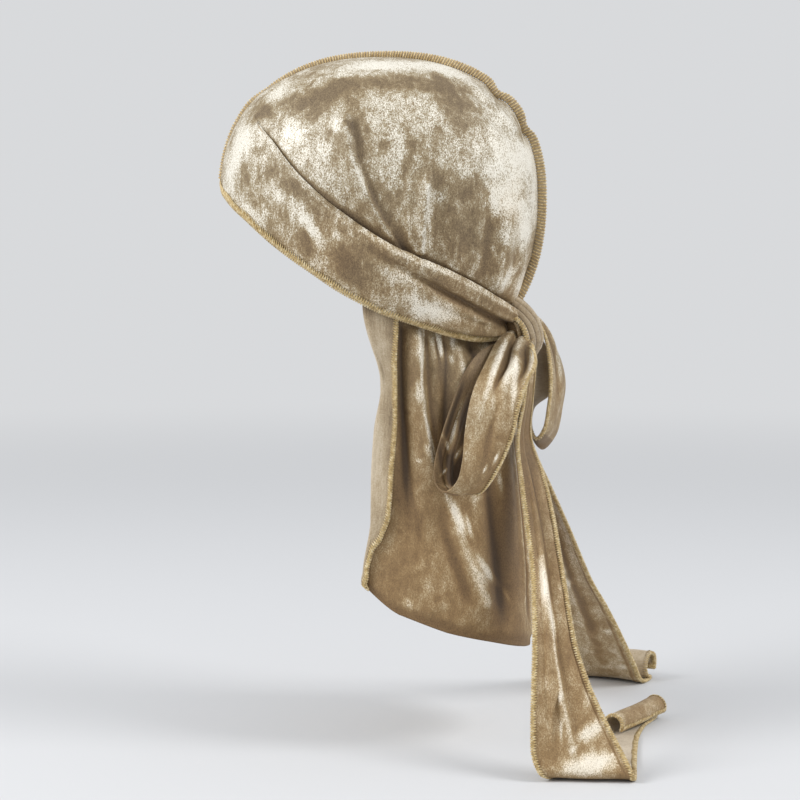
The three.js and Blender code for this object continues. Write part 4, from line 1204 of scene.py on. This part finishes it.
class DURAG_OT_cap(bpy.types.Operator):
    """Both halves of the cap, each with its half of the brow band"""

    bl_idname = "durag.cap"
    bl_label = "Cap and band"

    def execute(self, context):
        look = context.scene.durag_look
        for side, grid in CAP_GRIDS.items():
            points, tone = cap_half(*grid)
            if side == "right":
                points, tone = mirrored(points), tone[::-1]
            out = faces_out(points, HEAD_CENTRE)
            if not out:
                points, tone = points[:, ::-1], tone[:, ::-1]
            kinds = [material("velvet"), material("reverse")]
            cap = cloth(f"cap_{side}", points, tone, kinds, look.thickness / MM)
            dress(cap, [f"crown_{side}", f"band_{side}"])
            hem, inward, normal = edge_frames(points, "foot" if out else "top")
            reach = np.interp(np.linspace(0, 1, len(hem)), *BAND_STITCH)
            reach = reach if side == "left" else reach[::-1]
            edge = stitches(f"band_overlock_{side}", [(hem, inward, normal)], look, reach)
        return {"FINISHED"}


class DURAG_OT_seam(bpy.types.Operator):
    """The raised centre seam with its overlock threads"""

    bl_idname = "durag.seam"
    bl_label = "Centre seam"

    def execute(self, context):
        def section(angle, around, grow):
            """Points of the ridge at angles over the head and round it, grown by so many mm."""
            tall = RIDGE["tall"] + RIDGE["grows"] * smooth(RIDGE["from"], RIDGE["to"], angle)
            on_band = 1 - smooth(SEAM_FROM - 2, SEAM_FROM + 8, angle)
            foot = CLOTH + RIDGE["foot"] + RIDGE["on_band"] * on_band + seam_dip(angle, 0 * angle)
            c, s = np.cos(around), np.sin(around)
            narrow = 1 - 0.6 * smooth(SEAM_TO - 8, SEAM_TO + 3, angle)
            across = (RIDGE["half"] * narrow + grow) * np.sign(c) * np.abs(c) ** 0.7
            up = tall / 2 + (tall / 2 + grow) * np.sign(s) * np.abs(s) ** 0.6
            p = on_head(seam_direction(angle), foot + up)
            p[..., 0] = across + RIDGE["lean"] * smooth(120, 160, angle) * up
            return p

        angle = np.linspace(BROW, SEAM_TO + 3, 260)[:, None]
        around = np.linspace(0, 2 * math.pi, 15)[None, :]
        bm = bmesh.new()
        fill_grid(bm, section(angle + 0 * around, around + 0 * angle, 0.0))
        bmesh.ops.remove_doubles(bm, verts=bm.verts, dist=1e-6)
        bmesh.ops.holes_fill(bm, edges=bm.edges, sides=20)
        bmesh.ops.recalc_face_normals(bm, faces=bm.faces)
        dress(finished(bm, "seam_core", material("reverse")), ["centre_seam"])
        # The thread goes round the ridge once for each stitch, a little unevenly.
        count = int(2 * math.pi * RIDGE["radius"] * (SEAM_TO - BROW) / 360 / RIDGE["pitch"])
        turns = np.arange(count * 10) / 10
        wander = 0.12 * np.sin(turns * 2.3) + 0.1 * np.sin(turns * 5.1)
        along = BROW + (SEAM_TO - BROW + 3) * (turns + wander * 0.2) / count
        thread_path("seam_overlock", [section(along, turns * 2 * math.pi, 0.2)], RIDGE["thread"])
        return {"FINISHED"}


class DURAG_OT_flap(bpy.types.Operator):
    """The neck flap with its front edge turned back"""

    bl_idname = "durag.flap"
    bl_label = "Neck flap"

    def execute(self, context):
        look = context.scene.durag_look
        left, tone_left = flap_grid(*FLAP_GRIDS["left"], True)
        right, tone_right = flap_grid(*FLAP_GRIDS["right"], False)
        points = np.concatenate([left, mirrored(right)[1:]])
        tone = np.concatenate([tone_left, tone_right[::-1][1:]]) - 0.10
        # The turned-back front shows its wrong side, which carries the same painted light.
        under = np.where(np.arange(len(tone))[:, None] < FLAP["turned"], tone + 0.05, 0)
        lapel = "start"
        if not faces_out(points, np.array([0, 10, 0]), (1, 1, 0)):
            points, tone, under, lapel = points[::-1], tone[::-1], under[::-1], "end"
        kinds = [material("velvet"), material("reverse")]
        flap = cloth("flap", points, tone, kinds, look.thickness / MM, 0.0, under)
        dress(flap, ["flap_left", "flap_right"])
        runs = []
        for side in ("start", "end"):
            edge, inward, normal = (part[2:] for part in edge_frames(points, side))
            facing = -normal if side == lapel else normal
            runs.append((edge + facing * look.thickness / MM / 2, inward, facing))
        edge = stitches("flap_overlock", runs, look, FLAP_STITCH)
        return {"FINISHED"}


class DURAG_OT_ties(bpy.types.Operator):
    """The bow's two loops and the two long ends"""

    bl_idname = "durag.ties"
    bl_label = "Bow and ends"

    def execute(self, context):
        look = context.scene.durag_look
        for name, (table, folds, grid, roll, wave, bulge, marks, flat) in TIES.items():
            points, tone = ribbon_grid(table, folds, *grid, roll, wave, bulge)
            # Crushed-pile marks, with painted highlights and painted shade among them, for the outer and the
            # inner layer.
            outer, inner = (crushed(points, layer) for layer in marks)
            # Past its turn, a little beyond the middle, a loop shows its inside, and a loop's inside gets
            # painted shade.
            inside = np.linspace(0, 1, len(points))[:, None] > 0.52
            tone = tone + 0.4 * np.where(inside, inner, outer) - 0.2 * (inside & name.startswith("loop"))
            if name == "tail_right":
                points, tone = points[::-1], tone[::-1]
            # The far end, which lies in shade, is painted a little lighter; the other ties are a little
            # darker.
            tone = tone + (0.02 if name == "tail_right" else -0.07)
            kinds = [material("velvet"), material("velvet" if name == "loop_left" else "reverse")]
            tie = cloth(f"{name}_cloth", points, tone, kinds, look.thickness / MM, 0.0)
            dress(tie, [name])
            free = {"loop_left": ("foot",), "loop_right": ("top",)}
            # A loop's first stitches would lie inside the knot.
            skip = 15 if name in free else 0
            runs = []
            for side in free.get(name, ("top", "foot", "start", "end")):
                edge, inward, normal = (part[skip:] for part in edge_frames(points, side))
                runs.append((edge + normal * look.thickness / MM / 2, inward, normal))
            edge = stitches(f"{name}_overlock", runs, look, TIE_STITCH)
        return {"FINISHED"}


class DURAG_OT_knot(bpy.types.Operator):
    """The knot at the nape"""

    bl_idname = "durag.knot"
    bl_label = "Knot"

    def execute(self, context):
        bm = bmesh.new()
        bmesh.ops.create_uvsphere(bm, u_segments=96, v_segments=64, radius=1)
        shade = bm.verts.layers.float.new("tone")
        half = (KNOT["wide"], KNOT["deep"], KNOT["tall"])
        for vert in bm.verts:
            d = vert.co.normalized()
            lap = 1 + 0.08 * (1 - d.y * d.y) * math.cos(3 * math.atan2(d.z, d.x) + 2 * d.y)
            vert.co = [(share * size * lap + at) * MM for share, size, at in zip(d, half, KNOT["at"])]
            # Painted shade: the core between the straps is darker.
            vert[shade] = -0.3
        dress(finished(bm, "knot_core", material("velvet")), ["knot"])
        look = context.scene.durag_look
        columns, rows = 90, 64
        straps = {
            "knot_strap": (KNOT_STRAP, STRAP_FOLDS, "reverse"),
            "knot_turn": (KNOT_TURN, TURN_FOLDS, "velvet"),
        }
        for name, (table, folds, outside) in straps.items():
            points, tone = ribbon_grid(table, folds, columns, rows)
            # Stronger painted highlights and shade on the strap's folds, the whole strap a little darker,
            # and a painted highlight along its middle, where it bulges out most.
            tone = 1.6 * tone - 0.16 + 0.16 * bell((np.linspace(0, 1, rows) - 0.52) / 0.08)[None, :]
            middle = columns // 2
            if normals(points)[middle, rows // 2][0] < 0:
                points, tone = points[:, ::-1], tone[:, ::-1]
            strap = cloth(name, points, tone, [material(outside), material("velvet")], CLOTH, 0.0, tone)
            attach(strap, "root")
            if outside == "reverse":
                side = "foot" if points[middle, 0, 0] < points[middle, -1, 0] else "top"
                edge, inward, normal = edge_frames(points, side)
                stitches(name + "_overlock", [(edge + normal * CLOTH / 2, inward, normal)], look)
        return {"FINISHED"}


class DURAG_OT_stage(bpy.types.Operator):
    """Floor, lights and camera"""

    bl_idname = "durag.stage"
    bl_label = "Stage"

    def execute(self, context):
        scene = context.scene
        stage = scene.durag_stage
        back = np.array([
            math.sin(stage.azimuth) * math.cos(stage.elevation),
            -math.cos(stage.azimuth) * math.cos(stage.elevation),
            math.sin(stage.elevation),
        ])
        camera = link("camera", bpy.data.cameras.new("camera"))
        camera.data.lens = CAMERA["lens"]
        camera.data.sensor_width = CAMERA["sensor"]
        camera.data.clip_end = CAMERA["far"]
        camera.location = CAMERA["target"] + back * stage.distance
        camera.rotation_euler = (math.pi / 2 - stage.elevation, 0, stage.azimuth)
        scene.camera = camera
        bm = bmesh.new()
        bmesh.ops.create_circle(bm, cap_ends=True, segments=96, radius=FLOOR["radius"])
        level = float(CAD_BOX[0][2]) - FLOOR["below"]
        bmesh.ops.translate(bm, verts=bm.verts, vec=(0, 0, level))
        g = Graph("Pale floor")
        away = g.node("ShaderNodeVectorMath", {"operation": "LENGTH"}, {0: g.coords()})[1]
        haze = g.step(away, *FLOOR["fades"])
        pale = g.node("ShaderNodeBsdfDiffuse", {}, {"Color": stage.floor})[0]
        glow = g.node("ShaderNodeEmission", {}, {"Color": stage.backdrop, "Strength": 1.0})[0]
        both = g.node("ShaderNodeMixShader", {}, {0: haze, 1: pale, 2: glow})[0]
        g.node("ShaderNodeOutputMaterial", {}, {0: both})
        finished(bm, "floor", g.material, flat=True)
        world = bpy.data.worlds.new("Studio")
        scene.world = world
        world.use_nodes = True
        sky = world.node_tree.nodes["Background"].inputs
        sky["Color"].default_value = stage.backdrop
        sky["Strength"].default_value = 1.0
        for number, row in enumerate(LAMPS.rows):
            light = bpy.data.lights.new(f"softbox_{number}", "AREA")
            light.shape = "DISK"
            light.size = row["size"]
            light.energy = row["power"]
            lamp = link(light.name, light)
            lamp.location = place = np.array([row["x"], row["y"], row["z"]])
            aim = LAMPS_AIM - place
            lamp.rotation_euler = (
                math.atan2(math.hypot(aim[0], aim[1]), -aim[2]), 0, math.atan2(-aim[0], aim[1])
            )
        scene.view_settings.view_transform = "Standard"
        return {"FINISHED"}


class DURAG_PT_panel(bpy.types.Panel):
    """The durag's settings, and a button for each of its pieces"""

    bl_idname = "DURAG_PT_panel"
    bl_label = "Durag"
    bl_space_type = "VIEW_3D"
    bl_region_type = "UI"
    bl_category = "Durag"

    def draw(self, context):
        for group in (context.scene.durag_look, context.scene.durag_stage):
            for name in group.__annotations__:
                self.layout.prop(group, name)
        for operator in OPERATORS:
            self.layout.operator(operator.bl_idname)


OPERATORS = (DURAG_OT_cap, DURAG_OT_seam, DURAG_OT_flap, DURAG_OT_knot, DURAG_OT_ties, DURAG_OT_stage)
CLASSES = (DuragLook, DuragStage, *OPERATORS, DURAG_PT_panel)


def register():
    for item in CLASSES:
        bpy.utils.register_class(item)
    bpy.types.Scene.durag_look = bpy.props.PointerProperty(type=DuragLook)
    bpy.types.Scene.durag_stage = bpy.props.PointerProperty(type=DuragStage)


def unregister():
    del bpy.types.Scene.durag_stage
    del bpy.types.Scene.durag_look
    for item in reversed(CLASSES):
        bpy.utils.unregister_class(item)


def main():
    """Builds every piece and the stage."""
    register()
    bpy.ops.durag.cap()
    bpy.ops.durag.seam()
    bpy.ops.durag.flap()
    bpy.ops.durag.knot()
    bpy.ops.durag.ties()
    bpy.ops.durag.stage()


if __name__ == "__main__":
    main()
